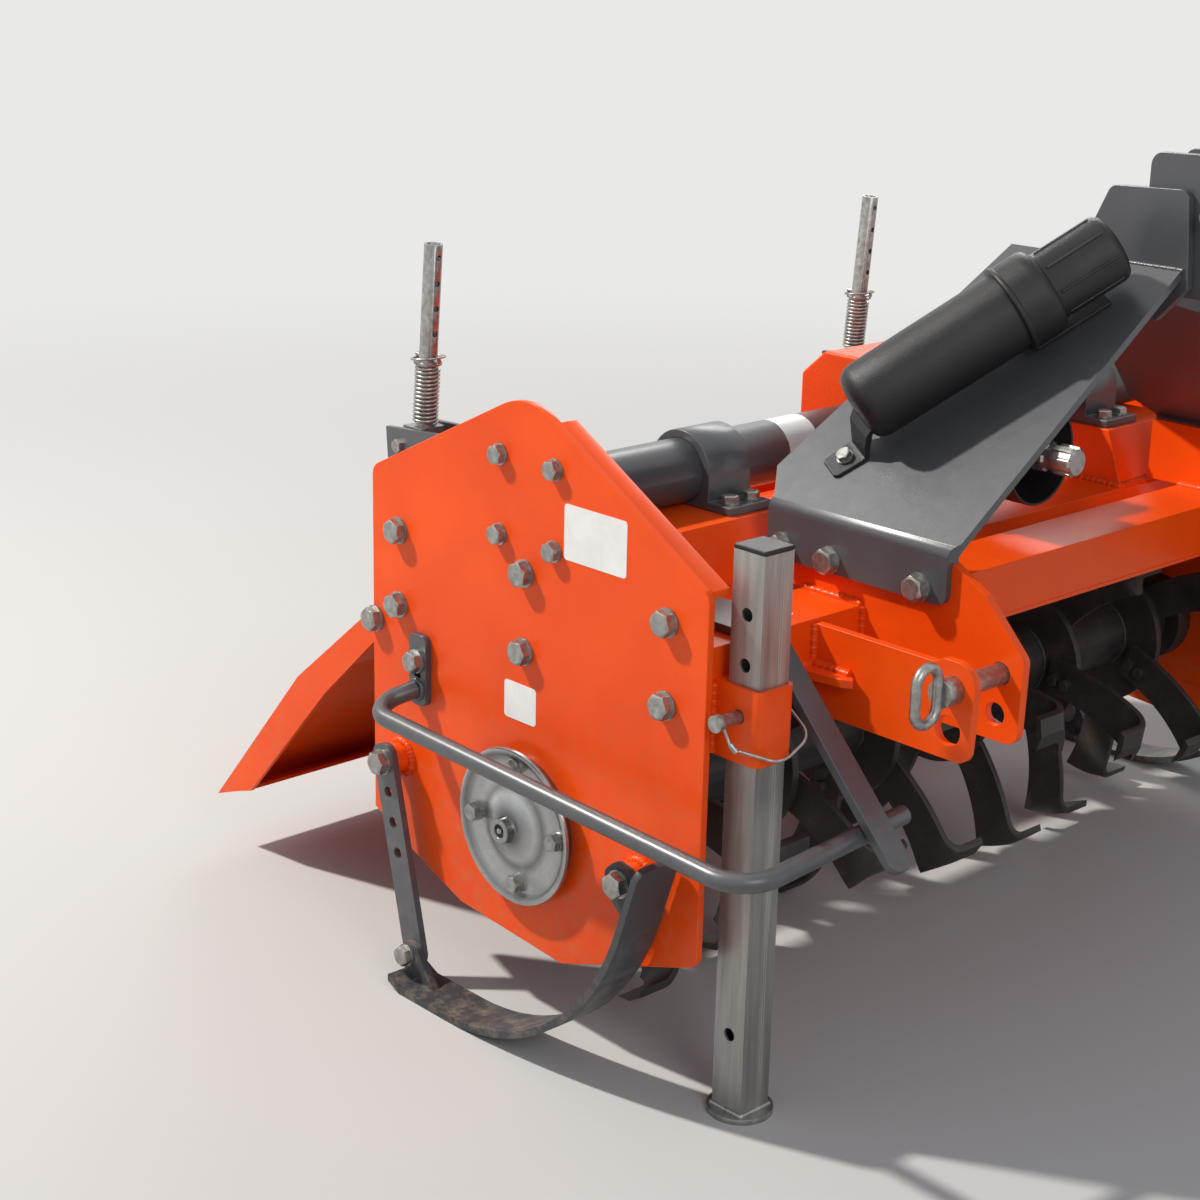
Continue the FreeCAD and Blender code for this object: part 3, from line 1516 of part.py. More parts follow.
# The pins through the rods' lower eyes stay with the tail board's lugs.
eye_pins = [
    cylinder(
        f"eye_pin{i}",
        "12",
        "56",
        from_axle("-eye_back", f"{sign} * (half_width - rod_in) - 28", "eye_rise"),
    )
    for i, sign in enumerate((-1, 1))
]
node(group("rod_eye_pins", *eye_pins), "rod_eye_pins")

doc.recompute()

for item in doc.Objects:
    if "Invalid" in item.State or "Error" in item.State:
        raise RuntimeError(f"{item.Name} did not rebuild: {item.State}")
for name, thing in NODES.items():
    solid = thing.Shape
    if solid.isNull() or not solid.isValid():
        raise RuntimeError(f"{name} has no valid shape")
    solid.exportStep(f"parts/{name}.step")
print(len(NODES), "sub-parts written")
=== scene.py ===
import bpy
import bmesh
import math
from mathutils import Matrix, Vector


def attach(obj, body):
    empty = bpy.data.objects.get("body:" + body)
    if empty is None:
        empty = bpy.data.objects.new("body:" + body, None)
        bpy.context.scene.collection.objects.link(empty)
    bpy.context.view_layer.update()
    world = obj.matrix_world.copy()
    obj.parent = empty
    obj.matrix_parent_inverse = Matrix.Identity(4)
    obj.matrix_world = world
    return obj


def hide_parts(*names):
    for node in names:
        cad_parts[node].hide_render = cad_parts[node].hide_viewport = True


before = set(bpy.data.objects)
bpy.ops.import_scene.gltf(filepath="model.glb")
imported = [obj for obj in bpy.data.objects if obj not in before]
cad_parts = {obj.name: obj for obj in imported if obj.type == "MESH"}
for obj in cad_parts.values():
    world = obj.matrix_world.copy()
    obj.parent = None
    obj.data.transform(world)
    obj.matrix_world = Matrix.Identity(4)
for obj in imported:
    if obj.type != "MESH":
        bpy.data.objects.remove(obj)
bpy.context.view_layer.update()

# Camera, floor and light.
# The camera stands at the machine's front right corner and looks down on it, as in the
# photograph. The sun stands high behind the right side, so bolts throw their shade down and
# forwards over the side plate.
camera_place = Vector((1.7301, -2.0293, 1.1686))
camera_azimuth, camera_elevation, camera_roll = 46.81, 17.41, 1.28
lens_pixels, photo_pixels = 2250.89, 1200

azimuth, elevation, roll = (
    math.radians(angle) for angle in (camera_azimuth, camera_elevation, camera_roll)
)
back = Vector(
    (
        math.sin(azimuth) * math.cos(elevation),
        -math.cos(azimuth) * math.cos(elevation),
        math.sin(elevation),
    )
)
level = (-back).cross(Vector((0, 0, 1))).normalized()
upright = level.cross(-back)
across = level * math.cos(roll) + upright * math.sin(roll)
upward = upright * math.cos(roll) - level * math.sin(roll)
camera_data = bpy.data.cameras.new("camera")
camera_data.sensor_width = 36
camera_data.lens = camera_data.sensor_width * lens_pixels / photo_pixels
camera = bpy.data.objects.new("camera", camera_data)
camera.matrix_world = Matrix((across, upward, back)).transposed().to_4x4()
camera.location = camera_place
bpy.context.scene.collection.objects.link(camera)
bpy.context.scene.camera = camera


def add(owner, kind, sockets=(), **settings):
    """A new node in a tree or material, with its settings and plain socket values."""
    thing = getattr(owner, "node_tree", owner).nodes.new(kind)
    for label, value in settings.items():
        setattr(thing, label, value)
    for label, value in dict(sockets).items():
        thing.inputs[label].default_value = value
    return thing


def link(owner, start, end):
    """Joins one node's output to another's input, both given as (node, socket)."""
    tree = getattr(owner, "node_tree", owner)
    tree.links.new(start[0].outputs[start[1]], end[0].inputs[end[1]])


def seen_rays(owner):
    """One where the eye, metal or glass looks, so that the backdrop itself adds no light."""
    rays = add(owner, "ShaderNodeLightPath")
    some = add(owner, "ShaderNodeMath")
    every = add(owner, "ShaderNodeMath", use_clamp=True)
    link(owner, (rays, "Is Camera Ray"), (some, 0))
    link(owner, (rays, "Is Glossy Ray"), (some, 1))
    link(owner, (some, "Value"), (every, 0))
    link(owner, (rays, "Is Transmission Ray"), (every, 1))
    return every


floor_radius = 60
floor_mesh = bpy.data.meshes.new("studio_floor")
floor_form = bmesh.new()
bmesh.ops.create_circle(floor_form, cap_ends=True, radius=floor_radius, segments=96)
floor_form.to_mesh(floor_mesh)
floor = bpy.data.objects.new("studio_floor", floor_mesh)
bpy.context.scene.collection.objects.link(floor)
floor_paint = bpy.data.materials.new("pale_floor")
floor_paint.use_nodes = True
floor_surface = floor_paint.node_tree.nodes["Principled BSDF"]
floor_surface.inputs["Base Color"].default_value = (0.52, 0.513, 0.5, 1)
floor_surface.inputs["Roughness"].default_value = 0.95
floor_surface.inputs["Specular IOR Level"].default_value = 0.1
far_floor = add(floor_paint, "ShaderNodeEmission", {"Color": (0.82, 0.815, 0.8, 1)})
floor_place = add(floor_paint, "ShaderNodeTexCoord")
floor_reach = add(floor_paint, "ShaderNodeVectorMath", operation="LENGTH")
fade_start, fade_end = 1.2, 4.5
floor_fade = add(
    floor_paint,
    "ShaderNodeMapRange",
    {"From Min": fade_start, "From Max": fade_end},
    interpolation_type="SMOOTHSTEP",
)
floor_share = add(floor_paint, "ShaderNodeMath", operation="MULTIPLY")
floor_blend = add(floor_paint, "ShaderNodeMixShader")
link(floor_paint, (floor_place, "Object"), (floor_reach, 0))
link(floor_paint, (floor_reach, "Value"), (floor_fade, "Value"))
link(floor_paint, (floor_fade, "Result"), (floor_share, 0))
link(floor_paint, (seen_rays(floor_paint), "Value"), (floor_share, 1))
link(floor_paint, (floor_share, "Value"), (floor_blend, 0))
link(floor_paint, (floor_surface, "BSDF"), (floor_blend, 1))
link(floor_paint, (far_floor, "Emission"), (floor_blend, 2))
floor_end = floor_paint.node_tree.nodes["Material Output"]
link(floor_paint, (floor_blend, "Shader"), (floor_end, "Surface"))
floor_mesh.materials.append(floor_paint)

sky = bpy.data.worlds.new("studio")
sky.use_nodes = True
sky_light = sky.node_tree.nodes["Background"]
sky_light.inputs["Color"].default_value = (0.84, 0.9, 1.0, 1)
sky_light.inputs["Strength"].default_value = 0.42
backdrop = add(sky, "ShaderNodeBackground", {"Color": (0.86, 0.86, 0.85, 1)})
sky_blend = add(sky, "ShaderNodeMixShader")
link(sky, (seen_rays(sky), "Value"), (sky_blend, 0))
link(sky, (sky_light, "Background"), (sky_blend, 1))
link(sky, (backdrop, "Background"), (sky_blend, 2))
link(sky, (sky_blend, "Shader"), (sky.node_tree.nodes["World Output"], "Surface"))
bpy.context.scene.world = sky
bpy.context.scene.view_settings.view_transform = "Standard"


def lamp(name, place, aim, size, power, colour):
    """A round soft lamp that looks at a point."""
    data = bpy.data.lights.new(name, "AREA")
    data.shape = "DISK"
    data.size = size
    data.energy = power
    data.color = colour
    thing = bpy.data.objects.new(name, data)
    thing.location = place
    look = Vector(aim) - Vector(place)
    thing.rotation_mode = "QUATERNION"
    thing.rotation_quaternion = look.to_track_quat("-Z", "Y")
    bpy.context.scene.collection.objects.link(thing)


lamp("sun_lamp", (-2.9, -2.5, 4.35), (0, -0.3, 0.3), 0.25, 345, (1.0, 0.96, 0.9))
lamp("front_lamp", (3.8, -1.8, 2.6), (0, -0.2, 0.3), 2.0, 44, (0.97, 0.98, 1.0))
lamp("rear_lamp", (-2.6, 3.2, 3.0), (0, 0, 0.4), 2.0, 50, (1.0, 0.98, 0.95))

# Orange sheet metal.
# Side plates, hood, beams and hitch plates are cut and folded steel, welded and then powder
# coated in a glossy orange. The coat has a fine orange peel and holds a little field dust.
sheet_edge = 0.0009


def roll_edges(thing, width, segments=2, sharp=32, smooth=True):
    """Rolls a piece's sharp edges."""
    edges = thing.modifiers.new("edges", "BEVEL")
    edges.width = width
    edges.segments = segments
    edges.limit_method = "ANGLE"
    edges.angle_limit = math.radians(sharp)
    edges.harden_normals = smooth


def finish_on(name, finish, width=sheet_edge):
    """Puts a finish on a piece of the frame and rolls its cut edges, as its coat does."""
    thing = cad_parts[name]
    joined = thing.modifiers.new("joined", "WELD")
    joined.merge_threshold = 0.00002
    flat = thing.modifiers.new("flat", "DECIMATE")
    flat.decimate_type = "DISSOLVE"
    flat.angle_limit = math.radians(1)
    roll_edges(thing, width)
    thing.data.materials.clear()
    thing.data.materials.append(finish)


def finish_for(name, slot, plain=()):
    """A new finish for one of the record's slots, and its shader with its plain values."""
    finish = bpy.data.materials.new(name)
    finish.use_nodes = True
    finish["slot"] = slot
    surface = finish.node_tree.nodes["Principled BSDF"]
    for label, value in dict(plain).items():
        surface.inputs[label].default_value = value
    return finish, surface


def noise_on(finish, scale, detail, stretch=(1, 1, 1), rough=0.55):
    """Cloudy noise at a scale per metre, in the object's own coordinates."""
    where = add(finish, "ShaderNodeTexCoord")
    turned = add(finish, "ShaderNodeMapping", {"Scale": stretch})
    values = {"Scale": scale, "Detail": detail, "Roughness": rough}
    noise = add(finish, "ShaderNodeTexNoise", values)
    link(finish, (where, "Object"), (turned, "Vector"))
    link(finish, (turned, "Vector"), (noise, "Vector"))
    return noise


def ramp_on(finish, source, socket, stops):
    """A ramp of (place, colour) stops fed by a node."""
    ramp = add(finish, "ShaderNodeValToRGB")
    marks = ramp.color_ramp.elements
    while len(marks) < len(stops):
        marks.new(0.5)
    for mark, (place, colour) in zip(marks, stops):
        mark.position = place
        mark.color = (*colour, 1)
    link(finish, (source, socket), (ramp, "Fac"))
    return ramp


def haze_on(finish, surface, noise, low, high):
    """Roughness that wanders from low to high with a noise."""
    haze = add(finish, "ShaderNodeMapRange", {"To Min": low, "To Max": high})
    link(finish, (noise, "Fac"), (haze, "Value"))
    link(finish, (haze, "Result"), (surface, "Roughness"))


def relief_on(finish, surface, noise, strength, distance):
    """Small relief from a noise."""
    relief = add(finish, "ShaderNodeBump", {"Strength": strength, "Distance": distance})
    link(finish, (noise, "Fac"), (relief, "Height"))
    link(finish, (relief, "Normal"), (surface, "Normal"))


def height_on(finish, top, low_value, high_value):
    """A value that goes from the floor's to another at a height above it."""
    where = add(finish, "ShaderNodeTexCoord")
    height = add(finish, "ShaderNodeSeparateXYZ")
    values = {"From Min": 0.0, "From Max": top, "To Min": low_value, "To Max": high_value}
    change = add(finish, "ShaderNodeMapRange", values)
    link(finish, (where, "Object"), (height, "Vector"))
    link(finish, (height, "Z"), (change, "Value"))
    return change


def powder_coat(name, slot, deep, bright, dust, gloss, dust_top, dust_most, specular=0.24,
                peel_scale=420, peel_detail=2, peel_strength=0.09, peel_deep=0.0006):
    """Powder coat over steel: cloudy tone, orange peel, and dust that thins out upwards."""
    coat, surface = finish_for(name, slot, {"Specular IOR Level": specular})
    cloud = noise_on(coat, 7, 5)
    tone = ramp_on(coat, cloud, "Fac", [(0.3, deep), (0.7, bright)])
    low = height_on(coat, dust_top, dust_most, 0.02)
    specks = noise_on(coat, 55, 9, rough=0.72)
    patch = ramp_on(coat, specks, "Fac", [(0.46, (0, 0, 0)), (0.72, (1, 1, 1))])
    share = add(coat, "ShaderNodeMath", operation="MULTIPLY")
    dusty = add(coat, "ShaderNodeMix", data_type="RGBA")
    dusty.inputs["B"].default_value = (*dust, 1)
    link(coat, (low, "Result"), (share, 0))
    link(coat, (patch, "Color"), (share, 1))
    link(coat, (share, "Value"), (dusty, "Factor"))
    link(coat, (tone, "Color"), (dusty, "A"))
    link(coat, (dusty, "Result"), (surface, "Base Color"))
    haze_on(coat, surface, specks, gloss, gloss + 0.14)
    peel = noise_on(coat, peel_scale, peel_detail)
    relief_on(coat, surface, peel, peel_strength, peel_deep)
    return coat


orange_coat = powder_coat(
    "orange_powder_coat",
    "orange_paint",
    deep=(0.8, 0.066, 0.003),
    bright=(0.92, 0.088, 0.004),
    dust=(0.42, 0.25, 0.13),
    gloss=0.24,
    dust_top=0.45,
    dust_most=0.4,
)
for sheet in (
    "side_plate_right",
    "side_plate_left",
    "end_plates",
    "hood",
    "front_beam",
    "rear_beam",
    "tube_pedestals",
    "hitch_outer_plates",
    "hitch_shelves",
    "hitch_inner_plates",
    "skid_bosses",
    "leg_sleeve",
    "tail_board",
):
    finish_on(sheet, orange_coat)

# Gearbox and side gear case.
# Both are grey iron castings under the same orange: a coarser skin and softened edges.
# They are bolted between the tubes and to the left side plate.
cast_edge = 0.004
cast_coat = powder_coat(
    "orange_on_casting",
    "orange_paint",
    deep=(0.72, 0.055, 0.003),
    bright=(0.84, 0.075, 0.004),
    dust=(0.4, 0.24, 0.13),
    gloss=0.36,
    dust_top=0.45,
    dust_most=0.4,
    peel_scale=260,
    peel_detail=4,
    peel_strength=0.35,
    peel_deep=0.0012,
)
for casting in ("gearbox", "gear_case"):
    finish_on(casting, cast_coat, cast_edge)

# Dark grey pieces.
# The cross tube, clamps, mast, guards, braces and skids carry a satin dark grey coat that
# shows its peel in the light and wears bright where soil rubs.
grey_coat = powder_coat(
    "dark_grey_powder_coat",
    "grey_paint",
    deep=(0.056, 0.059, 0.066),
    bright=(0.074, 0.078, 0.086),
    dust=(0.3, 0.25, 0.19),
    gloss=0.28,
    dust_top=0.45,
    dust_most=0.3,
    specular=0.7,
)
for piece in (
    "cross_tube",
    "drive_tube",
    "tube_clamps",
    "mast_plates",
    "mast_cheeks",
    "top_link_lugs",
    "side_guards",
    "guard_braces",
    "skid_straps",
    "rod_brackets",
):
    finish_on(piece, grey_coat)

skid_coat = powder_coat(
    "skid_grey_coat",
    "grey_paint",
    deep=(0.05, 0.053, 0.06),
    bright=(0.068, 0.072, 0.08),
    dust=(0.33, 0.26, 0.18),
    gloss=0.38,
    dust_top=0.22,
    dust_most=0.75,
)
scuff_top, scuff_most = 0.03, 0.75
scuff_low = height_on(skid_coat, scuff_top, scuff_most, 0.0)
scuff_grain = noise_on(skid_coat, 60, 8, (0.15, 1, 1), 0.7)
scuff = add(skid_coat, "ShaderNodeMath", operation="MULTIPLY")
link(skid_coat, (scuff_low, "Result"), (scuff, 0))
link(skid_coat, (scuff_grain, "Fac"), (scuff, 1))
link(skid_coat, (scuff, "Value"), (skid_coat.node_tree.nodes["Principled BSDF"], "Metallic"))
finish_on("skids", skid_coat)

# Zinc plated steel.
# The leg, spring rods, pins, washers and bolts are plated. The plate is a dull silver with a
# faint spangle and fine lengthwise drawing marks.
turned_edge = 0.0005


def plated(name, slot, dark, light, rough, scale, stretch=(1, 1, 1)):
    """Zinc plate over drawn or turned steel."""
    zinc, surface = finish_for(name, slot, {"Metallic": 0.8})
    cloud = noise_on(zinc, scale, 7, stretch, 0.62)
    tone = ramp_on(zinc, cloud, "Fac", [(0.32, dark), (0.66, light)])
    link(zinc, (tone, "Color"), (surface, "Base Color"))
    haze_on(zinc, surface, cloud, rough, rough + 0.2)
    relief_on(zinc, surface, cloud, 0.12, 0.0003)
    return zinc


leg_zinc = plated(
    "drawn_zinc",
    "zinc_plate",
    dark=(0.25, 0.25, 0.235),
    light=(0.42, 0.42, 0.4),
    rough=0.3,
    scale=70,
    stretch=(1, 1, 0.06),
)
pin_zinc = plated(
    "turned_zinc",
    "zinc_plate",
    dark=(0.23, 0.225, 0.21),
    light=(0.42, 0.415, 0.4),
    rough=0.22,
    scale=140,
)
finish_on("parking_leg", leg_zinc)
for piece in (
    "spring_rods",
    "rod_guides",
    "rod_eye_pins",
    "tail_hinge_pins",
    "hitch_pins",
    "top_link_pin",
    "leg_pin",
):
    finish_on(piece, pin_zinc, turned_edge)

# Rotor and bearings.
# The reel's tube, flanges and tines are welded up and painted black at the works. Soil leaves
# a dry brown film on them in patches.
reel_finish, reel_surface = finish_for("soiled_black_steel", "black_paint")
reel_black, reel_film, reel_soil = (0.016, 0.016, 0.018), (0.035, 0.03, 0.026), (0.1, 0.07, 0.045)
reel_noise = noise_on(reel_finish, 24, 9, rough=0.7)
reel_stops = [(0.3, reel_black), (0.55, reel_film), (0.8, reel_soil)]
reel_tone = ramp_on(reel_finish, reel_noise, "Fac", reel_stops)
link(reel_finish, (reel_tone, "Color"), (reel_surface, "Base Color"))
haze_on(reel_finish, reel_surface, reel_noise, 0.32, 0.75)
relief_on(reel_finish, reel_surface, reel_noise, 0.3, 0.0008)
for piece in ("rotor", "rotor_bearings"):
    finish_on(piece, reel_finish)

# Black plastic.
# The input shaft's guard, the paper canister and the leg's cap are injection mouldings with
# a fine eroded grain.
moulded_edge = 0.0015
deep_black, worn_black = (0.011, 0.011, 0.012), (0.01595, 0.01595, 0.0174)
black_plastic, plastic_surface = finish_for(
    "grained_black_plastic", "black_plastic", {"Specular IOR Level": 0.36}
)
plastic_grain = noise_on(black_plastic, 900, 3, rough=0.6)
plastic_cloud = noise_on(black_plastic, 18, 5)
plastic_tone = ramp_on(
    black_plastic, plastic_cloud, "Fac", [(0.3, deep_black), (0.7, worn_black)]
)
link(black_plastic, (plastic_tone, "Color"), (plastic_surface, "Base Color"))
haze_on(black_plastic, plastic_surface, plastic_grain, 0.3, 0.46)
relief_on(black_plastic, plastic_surface, plastic_grain, 0.6, 0.0007)
for piece in ("pto_guard", "leg_cap"):
    finish_on(piece, black_plastic, moulded_edge)

# Bolts and nuts.
# Zinc plated hex screws with a chamfered head on a plain washer, M16 at full size and M12 or
# M10 as a share of it. They clamp the plates, tubes, skids, mast and covers.
axle = Vector((0.082, 0, 0.234))
head_across, head_high, washer_high = 0.024, 0.0105, 0.003
dome_radius, dome_drop = 0.02706, 0.01154
washer_radius, most_turn = 0.0148, 1.05


def spot(ahead, side, rise):
    """A place in metres from millimetres ahead of, beside and above the rotor's axis."""
    return axle + Vector((ahead, side, rise)) / 1000


def tree_of(name, rows):
    """A new geometry tree with named inputs."""
    tree = bpy.data.node_groups.new(name, "GeometryNodeTree")
    sockets = tree.interface
    sockets.new_socket("Geometry", in_out="INPUT", socket_type="NodeSocketGeometry")
    for label, kind, plain in rows:
        socket = sockets.new_socket(label, in_out="INPUT", socket_type=kind)
        if plain is not None:
            socket.default_value = plain
    sockets.new_socket("Geometry", in_out="OUTPUT", socket_type="NodeSocketGeometry")
    return tree


def carried(name, body, mesh):
    """A piece that rides on a body, keeping the finish its mesh already holds."""
    thing = bpy.data.objects.new(name, mesh)
    bpy.context.scene.collection.objects.link(thing)
    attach(thing, body)
    return thing


def grow(name, body, seed_mesh, tree, values):
    """Runs a tree on a seed mesh and keeps the outcome as a plain piece of one body."""
    seed = bpy.data.objects.new(name + "_seed", seed_mesh)
    bpy.context.scene.collection.objects.link(seed)
    grown = seed.modifiers.new("grown", "NODES")
    grown.node_group = tree
    for item in tree.interface.items_tree:
        if item.in_out == "INPUT" and item.name in values:
            grown[item.identifier] = values[item.name]
    seed.update_tag()
    graph = bpy.context.evaluated_depsgraph_get()
    graph.update()
    plain = bpy.data.meshes.new_from_object(seed.evaluated_get(graph))
    bpy.data.objects.remove(seed)
    return carried(name, body, plain)


bolt_tree = tree_of(
    "hex_screws", [("Finish", "NodeSocketMaterial", None), ("Seed", "NodeSocketInt", 7)]
)
bolt_in = add(bolt_tree, "NodeGroupInput")
bolt_out = add(bolt_tree, "NodeGroupOutput")
prism = add(
    bolt_tree,
    "GeometryNodeMeshCylinder",
    {"Vertices": 6, "Radius": head_across / math.sqrt(3), "Depth": head_high},
)
prism_up = add(
    bolt_tree,
    "GeometryNodeTransform",
    {"Translation": (0, 0, washer_high + head_high / 2)},
)
dome = add(
    bolt_tree, "GeometryNodeMeshUVSphere", {"Segments": 48, "Rings": 40, "Radius": dome_radius}
)
dome_low = add(bolt_tree, "GeometryNodeTransform", {"Translation": (0, 0, -dome_drop)})
chamfer = add(bolt_tree, "GeometryNodeMeshBoolean", operation="INTERSECT")
washer = add(
    bolt_tree,
    "GeometryNodeMeshCylinder",
    {"Vertices": 40, "Radius": washer_radius, "Depth": washer_high},
)
washer_up = add(bolt_tree, "GeometryNodeTransform", {"Translation": (0, 0, washer_high / 2)})
whole_bolt = add(bolt_tree, "GeometryNodeJoinGeometry")
bolt_way = add(
    bolt_tree, "GeometryNodeInputNamedAttribute", {"Name": "way"}, data_type="FLOAT_VECTOR"
)
bolt_size = add(
    bolt_tree, "GeometryNodeInputNamedAttribute", {"Name": "size"}, data_type="FLOAT"
)
any_turn = add(bolt_tree, "FunctionNodeRandomValue", {3: most_turn}, data_type="FLOAT")
turn_axis = add(bolt_tree, "ShaderNodeCombineXYZ")
turn_kind = add(bolt_tree, "FunctionNodeEulerToRotation")
aim_bolt = add(bolt_tree, "FunctionNodeAlignRotationToVector", axis="Z")
set_bolts = add(bolt_tree, "GeometryNodeInstanceOnPoints")
real_bolts = add(bolt_tree, "GeometryNodeRealizeInstances")
bolt_skin = add(bolt_tree, "GeometryNodeSetMaterial")
for start, end in (
    ((prism, "Mesh"), (prism_up, "Geometry")),
    ((dome, "Mesh"), (dome_low, "Geometry")),
    ((prism_up, "Geometry"), (chamfer, "Mesh 2")),
    ((dome_low, "Geometry"), (chamfer, "Mesh 2")),
    ((washer, "Mesh"), (washer_up, "Geometry")),
    ((chamfer, "Mesh"), (whole_bolt, "Geometry")),
    ((washer_up, "Geometry"), (whole_bolt, "Geometry")),
    ((bolt_in, "Seed"), (any_turn, "Seed")),
    ((any_turn, 1), (turn_axis, "Z")),
    ((turn_axis, "Vector"), (turn_kind, "Euler")),
    ((turn_kind, "Rotation"), (aim_bolt, "Rotation")),
    ((bolt_way, "Attribute"), (aim_bolt, "Vector")),
    ((bolt_in, "Geometry"), (set_bolts, "Points")),
    ((whole_bolt, "Geometry"), (set_bolts, "Instance")),
    ((aim_bolt, "Rotation"), (set_bolts, "Rotation")),
    ((bolt_size, "Attribute"), (set_bolts, "Scale")),
    ((set_bolts, "Instances"), (real_bolts, "Geometry")),
    ((real_bolts, "Geometry"), (bolt_skin, "Geometry")),
    ((bolt_in, "Finish"), (bolt_skin, "Material")),
    ((bolt_skin, "Geometry"), (bolt_out, "Geometry")),
):
    link(bolt_tree, start, end)


def bolts(name, body, rows, finish=pin_zinc):
    """Hex screws at a list of (place, way out, size)."""
    seed = bpy.data.meshes.new(name + "_points")
    seed.from_pydata([row[0] for row in rows], [], [])
    seed.attributes.new("way", "FLOAT_VECTOR", "POINT")
    seed.attributes.new("size", "FLOAT", "POINT")
    for i, (place, way, size) in enumerate(rows):
        seed.attributes["way"].data[i].vector = way
        seed.attributes["size"].data[i].value = size
    thing = grow(name, body, seed, bolt_tree, {"Finish": finish, "Seed": len(name)})
    roll_edges(thing, 0.0004, sharp=35)


right_way, left_way, up_way = Vector((0, -1, 0)), Vector((0, 1, 0)), Vector((0, 0, 1))
plate_face, flange_face, guard_face = 585, 561, 593
boss_face, strap_face = 612.2, 620.4
beam_rises, flange_aheads, flange_rises = (274, 190), (-43, 41), (391, 307)
plate_rows = []
for side, way in ((-1, right_way), (1, left_way)):
    for ahead in (-210, 205):
        for rise in beam_rises:
            plate_rows.append((spot(ahead, side * plate_face, rise), way, 1))
    plate_rows.append((spot(-252, side * plate_face, 164), way, 1))
    plate_rows.append((spot(-170, side * guard_face, 137), way, 0.9))
    plate_rows.append((spot(176, side * boss_face, 0), way, 1))
    plate_rows.append((spot(-206, side * boss_face, 14), way, 1))
    plate_rows.append((spot(-154, side * strap_face, -199), way, 0.85))
    for ahead in flange_aheads:
        for rise in flange_rises:
            plate_rows.append((spot(ahead, side * flange_face, rise), -way, 0.78))
for rise in beam_rises:
    plate_rows.append((spot(-3, -plate_face, rise), right_way, 1))
for ahead in flange_aheads:
    for rise in flange_rises:
        plate_rows.append((spot(ahead, -plate_face, rise), right_way, 0.78))
bolts("plate_bolts", "frame", plate_rows)

mast_face, pedestal_face, clamp_foot = 356, 448, 322
slope_out = Vector((0, -0.6207, 0.78405))
tab_place, tab_high = spot(171.6, -298, 381.8), 0.005
mast_rows = []
for side, way in ((-1, right_way), (1, left_way)):
    for ahead, rise in ((140, 294), (205, 293.5), (322, 293)):
        mast_rows.append((spot(ahead, side * mast_face, rise), way, 1))
    for ahead, rise in ((100, 268), (58, 285)):
        mast_rows.append((spot(ahead, side * pedestal_face, rise), way, 0.85))
    for ahead in (-60, 60):
        for middle in (321, 353):
            mast_rows.append((spot(ahead, side * middle, clamp_foot), up_way, 0.7))
mast_rows.append((tab_place + slope_out * tab_high, slope_out, 0.62))
bolts("mast_bolts", "frame", mast_rows)

cap_ring, cap_face = 64, 597
cap_rows = [
    (spot(cap_ring * math.cos(turn), -cap_face, cap_ring * math.sin(turn)), right_way, 0.72)
    for turn in (math.pi / 2 * k + 0.05 for k in range(4))
]
bolts("bearing_cap_bolts", "frame", cap_rows)

rod_ahead, rod_out, rod_rise, guide_half = -415, 387, 305, 36
guide_rows = []
for side in (-1, 1):
    for outward in (-1, 1):
        place = spot(rod_ahead, side * rod_out + outward * guide_half, rod_rise)
        guide_rows.append((place, Vector((0, outward, 0)), 0.62))
bolts("guide_nuts", "rod_guides", guide_rows)

# Tines' screws.
# Each tine is held to its flange by two screws side by side, painted over with the reel.
flange_first, flange_step, tine_face = -443, 177.2, 13
tine_rows = []
for i in range(6):
    for k in range(6):
        turn = math.radians(60 * k + 17 * i)
        toward = 1 if k % 2 == 0 else -1
        for reach in (68, 86):
            place = spot(
                reach * math.cos(turn),
                flange_first + flange_step * i + toward * tine_face,
                -reach * math.sin(turn),
            )
            tine_rows.append((place, Vector((0, toward, 0)), 0.6))
bolts("tine_screws", "rotor", tine_rows, reel_finish)

# Weld beads, springs and bent wire.
# One tree lays a round bar along a line. With ripple it is a weld bead that stands half proud
# of the joint it closes; without, it is drawn wire.
bead_tree = tree_of(
    "beads",
    [
        ("Finish", "NodeSocketMaterial", None),
        ("Radius", "NodeSocketFloat", 0.003),
        ("Step", "NodeSocketFloat", 0.0016),
        ("Ripple", "NodeSocketFloat", 0.22),
    ],
)
bead_in = add(bead_tree, "NodeGroupInput")
bead_out = add(bead_tree, "NodeGroupOutput")
line = add(bead_tree, "GeometryNodeMeshToCurve")
steps = add(bead_tree, "GeometryNodeResampleCurve", mode="LENGTH")
round_line = add(
    bead_tree, "GeometryNodeCurvePrimitiveCircle", {"Resolution": 10}, mode="RADIUS"
)
along = add(bead_tree, "GeometryNodeSplineParameter")
pulse = add(bead_tree, "ShaderNodeMath", {1: 1600.0}, operation="MULTIPLY")
wave = add(bead_tree, "ShaderNodeMath", operation="SINE")
blotch = add(bead_tree, "ShaderNodeTexNoise", {"Scale": 130.0, "Detail": 2.0})
uneven = add(bead_tree, "ShaderNodeMath", {1: 2.4}, operation="MULTIPLY")
level_out = add(bead_tree, "ShaderNodeMath", {1: -1.2}, operation="ADD")
both_kinds = add(bead_tree, "ShaderNodeMath", operation="ADD")
amount = add(bead_tree, "ShaderNodeMath", operation="MULTIPLY")
whole_size = add(bead_tree, "ShaderNodeMath", {1: 1.0}, operation="ADD")
skin = add(bead_tree, "GeometryNodeCurveToMesh", {"Fill Caps": True})
smooth = add(bead_tree, "GeometryNodeSetShadeSmooth")
real_bead = add(bead_tree, "GeometryNodeRealizeInstances")
bead_skin = add(bead_tree, "GeometryNodeSetMaterial")
